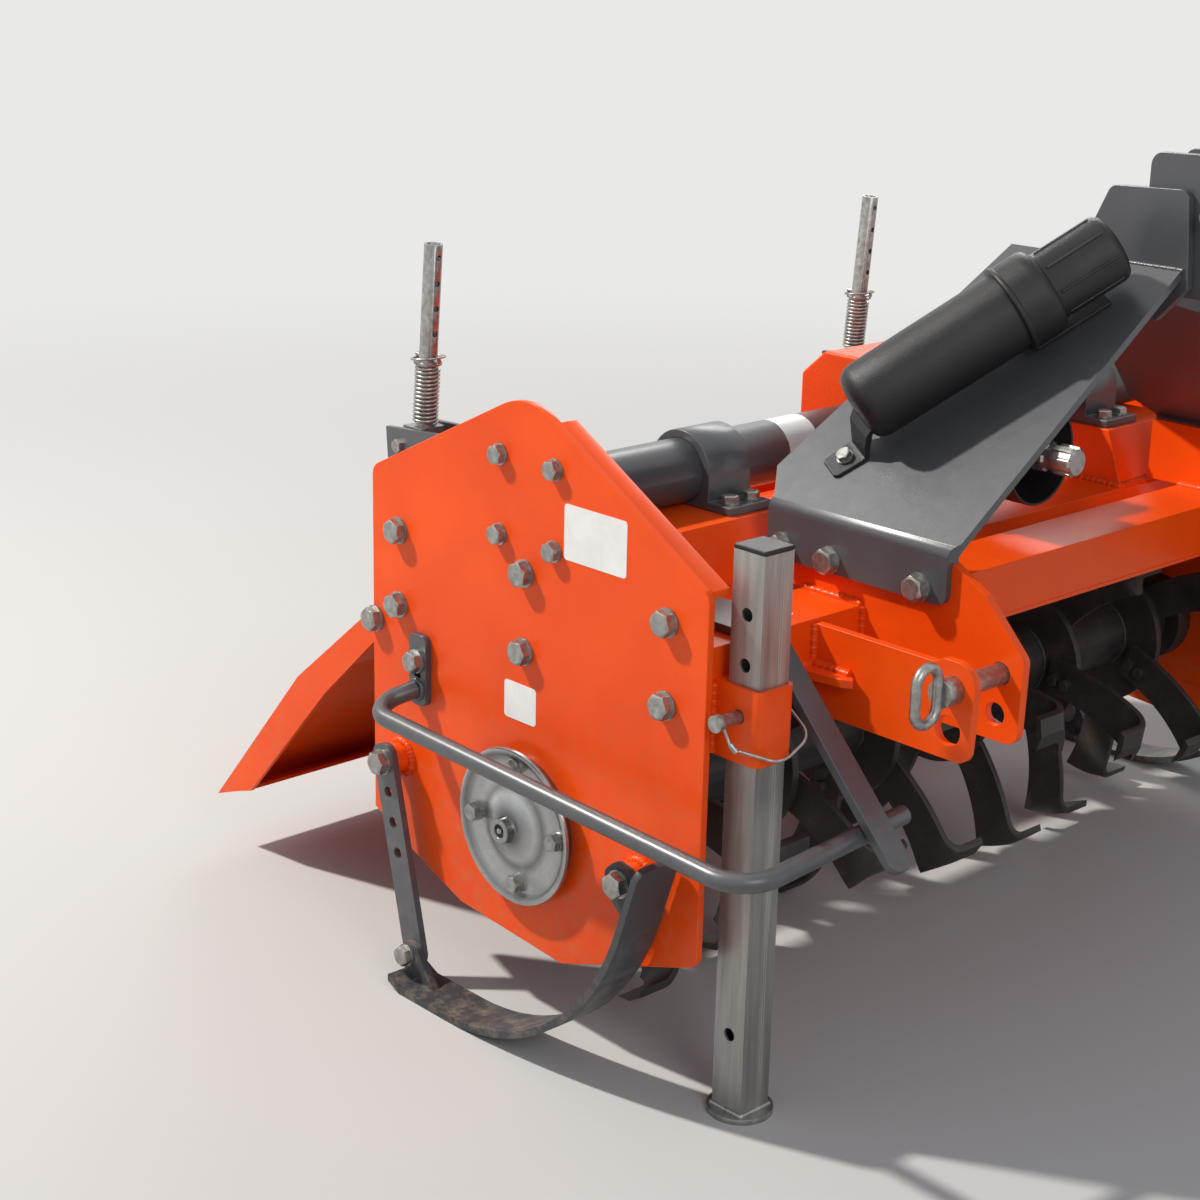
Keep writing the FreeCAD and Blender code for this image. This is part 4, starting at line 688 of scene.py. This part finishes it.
for start, end in (
    ((bead_in, "Geometry"), (line, "Mesh")),
    ((line, "Curve"), (steps, "Curve")),
    ((bead_in, "Step"), (steps, "Length")),
    ((bead_in, "Radius"), (round_line, "Radius")),
    ((along, "Length"), (pulse, 0)),
    ((pulse, "Value"), (wave, 0)),
    ((blotch, "Fac"), (uneven, 0)),
    ((uneven, "Value"), (level_out, 0)),
    ((wave, "Value"), (both_kinds, 0)),
    ((level_out, "Value"), (both_kinds, 1)),
    ((both_kinds, "Value"), (amount, 0)),
    ((bead_in, "Ripple"), (amount, 1)),
    ((amount, "Value"), (whole_size, 0)),
    ((steps, "Curve"), (skin, "Curve")),
    ((round_line, "Curve"), (skin, "Profile Curve")),
    ((whole_size, "Value"), (skin, "Scale")),
    ((skin, "Mesh"), (smooth, "Geometry")),
    ((smooth, "Geometry"), (real_bead, "Geometry")),
    ((real_bead, "Geometry"), (bead_skin, "Geometry")),
    ((bead_in, "Finish"), (bead_skin, "Material")),
    ((bead_skin, "Geometry"), (bead_out, "Geometry")),
):
    link(bead_tree, start, end)


def beads(name, body, lines, finish, radius, step=0.0016, ripple=0.22):
    """Weld beads or wire along lines, each a list of points and whether it closes."""
    points, edges = [], []
    for run, closed in lines:
        first = len(points)
        points.extend(run)
        edges.extend((first + i, first + i + 1) for i in range(len(run) - 1))
        if closed:
            edges.append((first + len(run) - 1, first))
    seed = bpy.data.meshes.new(name + "_lines")
    seed.from_pydata(points, edges, [])
    values = {"Finish": finish, "Radius": radius, "Step": step, "Ripple": ripple}
    return grow(name, body, seed, bead_tree, values)


def hoop(middle, radius, one, two, count=40):
    """A closed ring of points in the plane of two unit directions."""
    turns = (2 * math.pi * i / count for i in range(count))
    run = [middle + one * (radius * math.cos(t)) + two * (radius * math.sin(t)) for t in turns]
    return (run, True)


ahead_way = Vector((1, 0, 0))
beam_front, beam_top, shelf_top, tube_rise = 245, 254, 208, 349
outer_plate_faces, inner_plate_faces = (420, 410), (348, 338)
leg_ahead, leg_side, leg_half = 280, 536, 20
orange_lines, grey_lines = [], []


def run_of(one, two):
    """An open line between two places in millimetres."""
    return ([spot(*one), spot(*two)], False)


for side in (-1, 1):
    for face in outer_plate_faces:
        out = side * face
        orange_lines.append(run_of((beam_front, out, 196), (beam_front, out, 250)))
    for face in inner_plate_faces:
        out = side * face
        orange_lines.append(run_of((beam_front, out, 180), (beam_front, out, beam_top)))
        orange_lines.append(run_of((166, out, beam_top), (beam_front, out, beam_top)))
    orange_lines.append(run_of((248, side * 420, shelf_top), (296, side * 420, shelf_top)))
    orange_lines.append(
        run_of((beam_front, side * 424, shelf_top), (beam_front, side * 439, shelf_top))
    )
    pedestal_foot = [(-96, pedestal_face), (108, pedestal_face), (108, 298), (-96, 298)]
    orange_lines.append(([spot(x, side * y, 245.5) for x, y in pedestal_foot], True))
    for ahead, rise in ((176, 0), (-206, 14)):
        boss = spot(ahead, side * plate_face, rise)
        orange_lines.append(hoop(boss, 0.017, ahead_way, up_way))
    grey_lines.append(hoop(spot(-171, side * guard_face, 104), 0.0105, ahead_way, up_way))
    grey_lines.append(hoop(spot(-1, side * 560.5, tube_rise), 0.036, ahead_way, up_way))
    grey_lines.append(run_of((262, side * 44, 583), (386, side * 44, 583)))
    grey_lines.append(run_of((242, side * 493, 263), (242, side * 461, 263)))
for face in (561.6, 510.4):
    orange_lines.append(run_of((beam_front, -face, 149), (beam_front, -face, 221)))
beads("orange_welds", "frame", orange_lines, orange_coat, 0.005, 0.0016, 0.32)
beads("grey_welds", "frame", grey_lines, grey_coat, 0.0026)
foot_line = [
    spot(leg_ahead + leg_half * a, -leg_side + leg_half * b, -227.5)
    for a, b in ((-1, -1), (1, -1), (1, 1), (-1, 1))
]
beads("leg_foot_weld", "leg", [(foot_line, True)], leg_zinc, 0.003)
seam_ahead = leg_ahead + leg_half - 0.3
seam_lines = [
    run_of((seam_ahead, y - leg_side, -226), (seam_ahead, y - leg_side, 352)) for y in (5, 8)
]
beads("leg_seam", "leg", seam_lines, leg_zinc, 0.0006, 0.02, 0)
reel_lines = [
    hoop(spot(0, flange_first + flange_step * i + face, 0), 0.0455, ahead_way, up_way)
    for i in range(6)
    for face in (-5.5, 5.5)
]
beads("reel_welds", "rotor", reel_lines, reel_finish, 0.003)
ring_lines = []
for side in (-1, 1):
    for rise in (219, 238):
        ring_lines.append(run_of((421, side * 442, rise), (421, side * 433, rise)))
beads("ring_welds", "frame", ring_lines, pin_zinc, 0.003)

# Tail board springs, washers and lynch pins.
# A coil of plated wire with closed ground ends presses from the guide up to a washer, and a
# lynch pin with a sprung wire ring through one of the rod's holes holds the washer down.
rod_way = Vector((0.075341, 0, 0.997158))
rod_side = Vector((0, 1, 0))
rod_front = rod_side.cross(rod_way)
coil_radius, coil_wire, coil_turns = 0.0133, 0.0022, 14
coil_start, coil_end, closed_turns = 0.0218, 0.0945, 1.0
pin_rise, pin_long = 0.103, 0.021
washer_start = 0.0955
coil_lines, pin_lines, wire_lines = [], [], []
for side in (-1, 1):
    middle = spot(rod_ahead, side * rod_out, rod_rise)
    run = []
    count = 36 * coil_turns
    closed_rise = 2 * coil_wire
    for i in range(count + 1):
        turns = coil_turns * i / count
        low_share = min(turns, closed_turns)
        high_share = max(0, turns - (coil_turns - closed_turns))
        open_share = turns - low_share - high_share
        open_rise = coil_end - coil_start - 2 * coil_wire - 2 * closed_turns * closed_rise
        rise = coil_start + coil_wire + (low_share + high_share) * closed_rise
        rise += open_rise * open_share / (coil_turns - 2 * closed_turns)
        turn = 2 * math.pi * turns
        out = rod_front * math.cos(turn) + rod_side * math.sin(turn)
        run.append(middle + rod_way * rise + out * coil_radius)
    coil_lines.append((run, False))
    at = middle + rod_way * pin_rise
    pin_lines.append(([at - rod_front * pin_long, at + rod_front * pin_long], False))
    tilted = (rod_front + rod_way * 0.2).normalized()
    wire_lines.append(hoop(at, pin_long - 0.001, tilted, rod_side))
coils = beads("tail_springs", "rod_guides", coil_lines, pin_zinc, coil_wire, 0.002, 0)
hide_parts("rod_springs")
beads("lynch_pins", "spring_rods", pin_lines, pin_zinc, 0.0031, 0.004, 0)
beads("lynch_rings", "spring_rods", wire_lines, pin_zinc, 0.0014, 0.002, 0)


def piece_of(name, body, form, finish, sharp=None):
    """Turns mesh code into a piece, smooth where it bends less than the sharp angle."""
    bmesh.ops.recalc_face_normals(form, faces=form.faces[:])
    mesh = bpy.data.meshes.new(name)
    form.to_mesh(mesh)
    mesh.materials.append(finish)
    if sharp:
        mesh.shade_smooth()
        mesh.set_sharp_from_angle(angle=math.radians(sharp))
    return carried(name, body, mesh)


def lathe(name, body, parts, finish, steps=64, sharp=35):
    """Turned pieces, each a (radius, height) profile in millimetres with a place and a way."""
    whole = bmesh.new()
    for profile, place, way in parts:
        form = bmesh.new()
        chain = [form.verts.new((r / 1000, 0, h / 1000)) for r, h in profile]
        for one, two in zip(chain, chain[1:]):
            form.edges.new((one, two))
        bmesh.ops.spin(
            form,
            geom=form.verts[:] + form.edges[:],
            axis=(0, 0, 1),
            cent=(0, 0, 0),
            angle=2 * math.pi,
            steps=steps,
            use_merge=True,
        )
        bmesh.ops.remove_doubles(form, verts=form.verts[:], dist=0.00001)
        turn = Vector(way).to_track_quat("Z", "Y").to_matrix().to_4x4()
        form.transform(Matrix.Translation(place) @ turn)
        part_mesh = bpy.data.meshes.new(name + "_part")
        form.to_mesh(part_mesh)
        whole.from_mesh(part_mesh)
        bpy.data.meshes.remove(part_mesh)
    return piece_of(name, body, whole, finish, sharp)


washer_profile = [
    (11.3, 0.4), (11.8, 0), (16.4, 0), (17, 0.6), (17, 2.4), (16.4, 3), (11.8, 3), (11.3, 2.6),
    (11.3, 0.4),
]
washer_parts = [
    (washer_profile, spot(rod_ahead, side * rod_out, rod_rise) + rod_way * washer_start, rod_way)
    for side in (-1, 1)
]
washers = lathe("spring_washers", "spring_rods", washer_parts, pin_zinc)
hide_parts("rod_washers")

# Paper canister.
# A moulded tube with a domed low end drawn out into a bolted tab, a stepped collar with a
# lipped lower rim, and a screw cap with finger ribs. It holds the machine's papers.
tube_foot = Vector((0.268, -0.3072, 0.6746))
tube_way = Vector((0.48481, 0.68574, 0.54288))
tube_profile = [
    (0, 0.3), (24, 0.6), (31, 2), (36.5, 5.5), (40, 11), (41.6, 18), (41.9, 60), (42.2, 120),
    (42.6, 183.5), (47.2, 184), (48, 184.8), (48, 188.5), (47.2, 189.4), (46.6, 189.8),
    (46.8, 212), (46.6, 219), (45, 223.5), (42, 226.2), (38.6, 227.6), (0, 227.8),
]
canister = lathe(
    "moulded_canister", "frame", [(tube_profile, tube_foot, tube_way)], black_plastic, 72, 50
)
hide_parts("paper_canister")
lid_profile = [
    (0, 226.4), (38, 226.4), (38, 229), (37.2, 230), (37.3, 298), (36.4, 302.5), (33.6, 306),
    (29.5, 307.8), (0, 307.9),
]
lid = lathe("screw_cap", "frame", [(lid_profile, tube_foot, tube_way)], black_plastic, 72, 50)
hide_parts("canister_cap")
tube_side = slope_out.cross(tube_way).normalized()
tube_out = tube_way.cross(tube_side)
rib_count, rib_reach = 8, 0.0368
low, high = tube_foot + tube_way * 0.233, tube_foot + tube_way * 0.296
rib_lines = []
for k in range(rib_count):
    turn = math.radians(360 * k / rib_count + 20)
    out = tube_out * math.cos(turn) + tube_side * math.sin(turn)
    rib_lines.append(([low + out * rib_reach, high + out * rib_reach], False))
beads("cap_ribs", "frame", rib_lines, black_plastic, 0.0016, 0.006, 0)


def skin_rings(form, rings):
    """Joins rings of corners into a closed skin with both ends capped."""
    for one, two in zip(rings, rings[1:]):
        for i in range(len(one)):
            j = (i + 1) % len(one)
            form.faces.new((one[i], one[j], two[j], two[i]))
    form.faces.new(rings[0])
    form.faces.new(list(reversed(rings[-1])))


def ribbon(name, body, stations, finish, bevel=0.0012):
    """A moulded strap through stations of (middle, half width vector, half thickness vector)."""
    form = bmesh.new()
    corners = ((-1, -1), (1, -1), (1, 1), (-1, 1))
    rings = [
        [form.verts.new(middle + half_wide * a + half_thick * b) for a, b in corners]
        for middle, half_wide, half_thick in stations
    ]
    skin_rings(form, rings)
    thing = piece_of(name, body, form, finish)
    roll_edges(thing, bevel, 3, 28)


tab_along = slope_out.cross(tube_side).normalized()
if tab_along.dot(tube_way) < 0:
    tab_along = -tab_along
tab_wide, tab_thick = tube_side * 0.018, 0.0024
tab_bolt = tab_place + slope_out * tab_thick
neck_low = tab_bolt + tab_along * 0.017
neck_high = tube_foot - tube_out * 0.014 + tube_way * 0.002
tab_stations = [
    (tab_bolt - tab_along * 0.021, tab_wide * 0.72, slope_out * tab_thick),
    (tab_bolt - tab_along * 0.017, tab_wide * 0.94, slope_out * tab_thick),
    (tab_bolt + tab_along * 0.012, tab_wide, slope_out * tab_thick),
    (neck_low, tab_wide, slope_out * tab_thick * 1.3 - tab_along * 0.0008),
    (neck_low.lerp(neck_high, 0.3), tab_wide * 1.02, -tube_way * 0.003 + slope_out * 0.001),
    (neck_low.lerp(neck_high, 0.75), tab_wide * 1.2, -tube_way * 0.0042),
    (neck_high + tube_way * 0.008, tab_wide * 1.35, -tube_way * 0.006),
]
ribbon("canister_tab", "frame", tab_stations, black_plastic)
saddle_low = tube_foot + tube_way * 0.19 - slope_out * 0.0465
saddle = [
    (saddle_low, tube_side * 0.021, slope_out * 0.0022),
    (saddle_low + tube_way * 0.088, tube_side * 0.021, slope_out * 0.0022),
]
ribbon("canister_saddle", "frame", saddle, black_plastic)
post_low = tube_foot + tube_way * 0.206 - slope_out * 0.046
post = [
    (post_low, tube_side * 0.018, tube_way * 0.012),
    (post_low + slope_out * 0.014, tube_side * 0.026, tube_way * 0.012),
]
ribbon("canister_post", "frame", post, black_plastic)

# Input shaft.
# A forged stub with six splines and a locking groove near its end, left bare and oiled.
shaft_steel = plated(
    "bare_steel",
    "bright_steel",
    dark=(0.26, 0.25, 0.24),
    light=(0.45, 0.44, 0.42),
    rough=0.26,
    scale=90,
)
spline_outer, spline_root, groove_root, spline_count = 0.0174, 0.0148, 0.0146, 6
spline_outline = (
    (-15, False), (-13, True), (-5, True), (5, True), (13, True), (15, False), (23, False),
    (37, False),
)
shaft_start, shaft_end = 155.2, 248.8
shaft_form = bmesh.new()


def spline_ring(ahead, outer, root):
    """One section across the splined shaft."""
    ring = []
    for k in range(spline_count):
        for turn, on_tooth in spline_outline:
            radius = outer if on_tooth else root
            angle = math.radians(360 * k / spline_count + turn)
            place = spot(ahead, 0, tube_rise)
            place += Vector((0, radius * math.cos(angle), radius * math.sin(angle)))
            ring.append(shaft_form.verts.new(place))
    return ring


shaft_rings = [
    spline_ring(shaft_start, spline_root, spline_root),
    spline_ring(shaft_start + 6, spline_outer, spline_root),
    spline_ring(shaft_end - 38, spline_outer, spline_root),
    spline_ring(shaft_end - 36, groove_root, groove_root),
    spline_ring(shaft_end - 28, groove_root, groove_root),
    spline_ring(shaft_end - 26, spline_outer, spline_root),
    spline_ring(shaft_end - 3, spline_outer, spline_root),
    spline_ring(shaft_end, spline_root - 0.001, spline_root - 0.001),
]
skin_rings(shaft_form, shaft_rings)
shaft = piece_of("splined_shaft", "input_shaft", shaft_form, shaft_steel)
roll_edges(shaft, 0.0004, 2, 30, False)
collar_profile = [(0, 0), (15.6, 0), (16, 0.4), (16, 71.6), (15.6, 72), (0, 72)]
collar_parts = [(collar_profile, spot(83.6, 0, tube_rise), ahead_way)]
lathe("shaft_collar", "input_shaft", collar_parts, shaft_steel)
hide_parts("pto_shaft")

# Gearbox and gear case covers.
# Flat cast covers with rings of screws, two hub domes over the chain wheels, and hexagon
# plugs for filling, level and draining.
rear_cover = [(0, 0), (58, 0), (58, 6), (55, 8), (34, 8), (30, 13), (26, 14), (0, 14)]
filler_boss = [(0, 0), (20, 0), (20, 6), (16, 8), (0, 8)]
seal_ring = [(46.2, 0), (54, 0), (54, 7), (52, 9), (46.2, 9), (46.2, 0)]
cover_rise = 346
gearbox_parts = [
    (rear_cover, spot(-84, 0, cover_rise), -ahead_way),
    (filler_boss, spot(-1, 0, 436), up_way),
    (seal_ring, spot(88, 0, tube_rise), ahead_way),
]
lathe("gearbox_covers", "frame", gearbox_parts, cast_coat)
low_dome = [(0, 0), (58, 0), (58, 4), (54, 7), (38, 8), (30, 12), (0, 12)]
high_dome = [(0, 0), (46, 0), (46, 4), (43, 7), (28, 8), (22, 11), (0, 11)]
case_face, dome_foot = 629, 628
case_parts = [
    (low_dome, spot(0, dome_foot, 0), left_way),
    (high_dome, spot(-1, dome_foot, tube_rise), left_way),
]
lathe("case_domes", "frame", case_parts, cast_coat)
cover_ring, low_ring, high_ring = 47, 92, 72
cover_rows = []
for k in range(6):
    turn = math.radians(60 * k + 30)
    rise = cover_rise + cover_ring * math.sin(turn)
    cover_rows.append((spot(-92, cover_ring * math.cos(turn), rise), -ahead_way, 0.5))
cover_rows.append((spot(-1, 0, 444), up_way, 0.95))
cover_rows.append((spot(-84, 66, 282), -ahead_way, 0.8))
for k in range(7):
    turn = math.pi + math.pi * k / 6
    one, two = math.cos(turn), math.sin(turn)
    cover_rows.append((spot(low_ring * one, case_face, low_ring * two), left_way, 0.6))
    high = spot(-1 - high_ring * one, case_face, tube_rise - high_ring * two)
    cover_rows.append((high, left_way, 0.6))
for share in (0.25, 0.5, 0.75):
    reach = low_ring + (high_ring - low_ring) * share
    for sign in (-1, 1):
        cover_rows.append((spot(sign * reach, case_face, tube_rise * share), left_way, 0.6))
for ahead, rise in ((0, 120), (30, 232)):
    cover_rows.append((spot(ahead, case_face, rise), left_way, 0.85))
bolts("cover_screws", "frame", cover_rows)

# Input shaft guard.
# The moulded bell has a rolled mouth and shallow stiffening rings outside.
guard_rings = [
    hoop(spot(ahead, 0, tube_rise), radius / 1000, left_way, up_way, 64)
    for ahead, radius in ((199.2, 56.4), (150, 57.2), (110, 57.2))
]
beads("guard_rings", "frame", guard_rings, black_plastic, 0.0018, 0.005, 0)

# Bearing cap and grease nozzle.
# A dished pressing of bright zinc plated sheet with a rolled rim and a coned hub, bolted over
# the rotor's right end. Painted shade darkens its folds in rings around the hub. A ball-ended
# nozzle sits in the hub.
cap_zinc = plated(
    "pressed_zinc",
    "zinc_plate",
    dark=(0.33, 0.34, 0.34),
    light=(0.5, 0.515, 0.515),
    rough=0.14,
    scale=16,
)
cap_surface = cap_zinc.node_tree.nodes["Principled BSDF"]
cap_tone = next(node for node in cap_zinc.node_tree.nodes if node.type == "VALTORGB")
# Painted shade: rings at the hub's foot, the cone's foot and inside the rim are darkened by
# distance from the axle, as shade falls in the folds.
shade_reach = 0.09
painted_fold_shades = (
    (0.14, 0.75), (0.17, 0.3), (0.25, 0.62), (0.4, 1.0), (0.5, 0.42), (0.6, 0.85),
    (0.78, 0.8), (0.87, 0.4), (0.95, 1.0),
)
cap_place = add(cap_zinc, "ShaderNodeTexCoord")
from_middle = add(cap_zinc, "ShaderNodeVectorMath", {1: axle}, operation="SUBTRACT")
in_plane = add(
    cap_zinc,
    "ShaderNodeVectorMath",
    {1: (1 / shade_reach, 0, 1 / shade_reach)},
    operation="MULTIPLY",
)
cap_reach = add(cap_zinc, "ShaderNodeVectorMath", operation="LENGTH")
cap_stops = [(place, (shade, shade, shade)) for place, shade in painted_fold_shades]
cap_painted_shade = ramp_on(cap_zinc, cap_reach, "Value", cap_stops)
cap_tone_with_painted_shade = add(cap_zinc, "ShaderNodeMix", data_type="RGBA", blend_type="MULTIPLY")
cap_tone_with_painted_shade.inputs["Factor"].default_value = 1.0
for start, end in (
    ((cap_place, "Object"), (from_middle, 0)),
    ((from_middle, "Vector"), (in_plane, 0)),
    ((in_plane, "Vector"), (cap_reach, 0)),
    ((cap_tone, "Color"), (cap_tone_with_painted_shade, "A")),
    ((cap_painted_shade, "Color"), (cap_tone_with_painted_shade, "B")),
    ((cap_tone_with_painted_shade, "Result"), (cap_surface, "Base Color")),
):
    link(cap_zinc, start, end)
cap_profile = [
    (0, 0), (75.4, 0), (76, 0.8), (76, 10.8), (77, 12.2), (85, 12.6), (86, 13.6), (86, 15),
    (85.2, 16.6), (83, 17.5), (80.8, 16.9), (77.6, 14.9), (75, 13), (72, 12.1), (53, 12),
    (47, 12.6), (41, 14.7), (30, 19), (22, 22.1), (17, 23.5), (14.8, 24.2), (14, 25.2),
    (14, 34.3), (13.3, 35), (8.2, 35), (7.5, 34.3), (7.5, 27), (0, 27),
]
cap_parts = [(cap_profile, spot(0, -plate_face, 0), right_way)]
cap = lathe("pressed_cap", "frame", cap_parts, cap_zinc, 96, 40)
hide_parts("bearing_cap")
nozzle_profile = [
    (0, 0), (4.6, 0), (4.6, 3.4), (3.1, 4.2), (3.1, 6.4), (3.6, 7.2), (3, 8.8), (1.4, 9.6),
    (0, 9.7),
]
lathe("grease_nozzle", "frame", [(nozzle_profile, spot(0, -611, 0), right_way)], pin_zinc, 32)

# Blank stickers.
# Thin pale vinyl on the right side plate, the front beam and the cross tube. They are blank
# and a little faded.
faded_vinyl, clean_vinyl = (0.74, 0.73, 0.7), (0.84, 0.83, 0.81)
vinyl = bpy.data.materials.new("pale_vinyl")
vinyl.use_nodes = True
vinyl_surface = vinyl.node_tree.nodes["Principled BSDF"]
vinyl_surface.inputs["Roughness"].default_value = 0.32
vinyl_cloud = noise_on(vinyl, 30, 6, rough=0.65)
vinyl_tone = ramp_on(vinyl, vinyl_cloud, "Fac", [(0.3, faded_vinyl), (0.6, clean_vinyl)])
link(vinyl, (vinyl_tone, "Color"), (vinyl_surface, "Base Color"))


def sticker(form, middle, half_one, half_two, lift, radius=0.004):
    """A thin plate with rounded corners on a flat face."""
    outline = []
    one, two = half_one.normalized(), half_two.normalized()
    for k, (a, b) in enumerate(((1, 1), (-1, 1), (-1, -1), (1, -1))):
        corner = middle + half_one * a + half_two * b - one * (radius * a) - two * (radius * b)
        for i in range(5):
            turn = math.pi / 2 * (k + i / 4)
            outline.append(corner + (one * math.cos(turn) + two * math.sin(turn)) * radius)
    low = [form.verts.new(point - lift * 0.0004) for point in outline]
    high = [form.verts.new(point + lift * 0.0004) for point in outline]
    skin_rings(form, [low, high])


sticker_form = bmesh.new()
for place, half_one, half_two, lift in (
    (spot(101, -plate_face, 331.5), ahead_way * 0.0451, up_way * 0.0288, right_way),
    (spot(-8, -plate_face, 132.5), ahead_way * 0.0248, up_way * 0.0205, right_way),
    (spot(196, -448, beam_top), ahead_way * 0.026, left_way * 0.024, up_way),
):
    sticker(sticker_form, place, half_one, half_two, lift)
piece_of("blank_stickers", "frame", sticker_form, vinyl)

tube_sheet = bmesh.new()
wrap_radius, wrap_start, wrap_end = 0.0354, -10, 100
wrap_rings = []
for side in (-232, -184):
    ring = []
    for layer in (wrap_radius - 0.0006, wrap_radius):
        for i in range(13):
            turn = math.radians(wrap_start + (wrap_end - wrap_start) * i / 12)
            out = Vector((math.cos(turn), 0, math.sin(turn)))
            ring.append(tube_sheet.verts.new(spot(-1, side, tube_rise) + out * layer))
    wrap_rings.append(ring)
near, far = wrap_rings
for first in (0, 13):
    for i in range(first, first + 12):
        tube_sheet.faces.new((near[i], near[i + 1], far[i + 1], far[i]))
for i in range(12):
    for ring in wrap_rings:
        tube_sheet.faces.new((ring[i], ring[i + 1], ring[i + 14], ring[i + 13]))
for i in (0, 12):
    tube_sheet.faces.new((near[i], far[i], far[i + 13], near[i + 13]))
piece_of("tube_sticker", "frame", tube_sheet, vinyl, 40)

# Leg pin's wire.
# The sprung wire loop ends in a crimped sleeve beside the pin's head.
crimp_start = (leg_ahead + 10, -582.6, 174)
crimp_end = (leg_ahead + 16, -579.6, 167)
crimp_lines = [run_of(crimp_start, crimp_end)]
beads("wire_crimp", "frame", crimp_lines, pin_zinc, 0.0032, 0.002, 0)
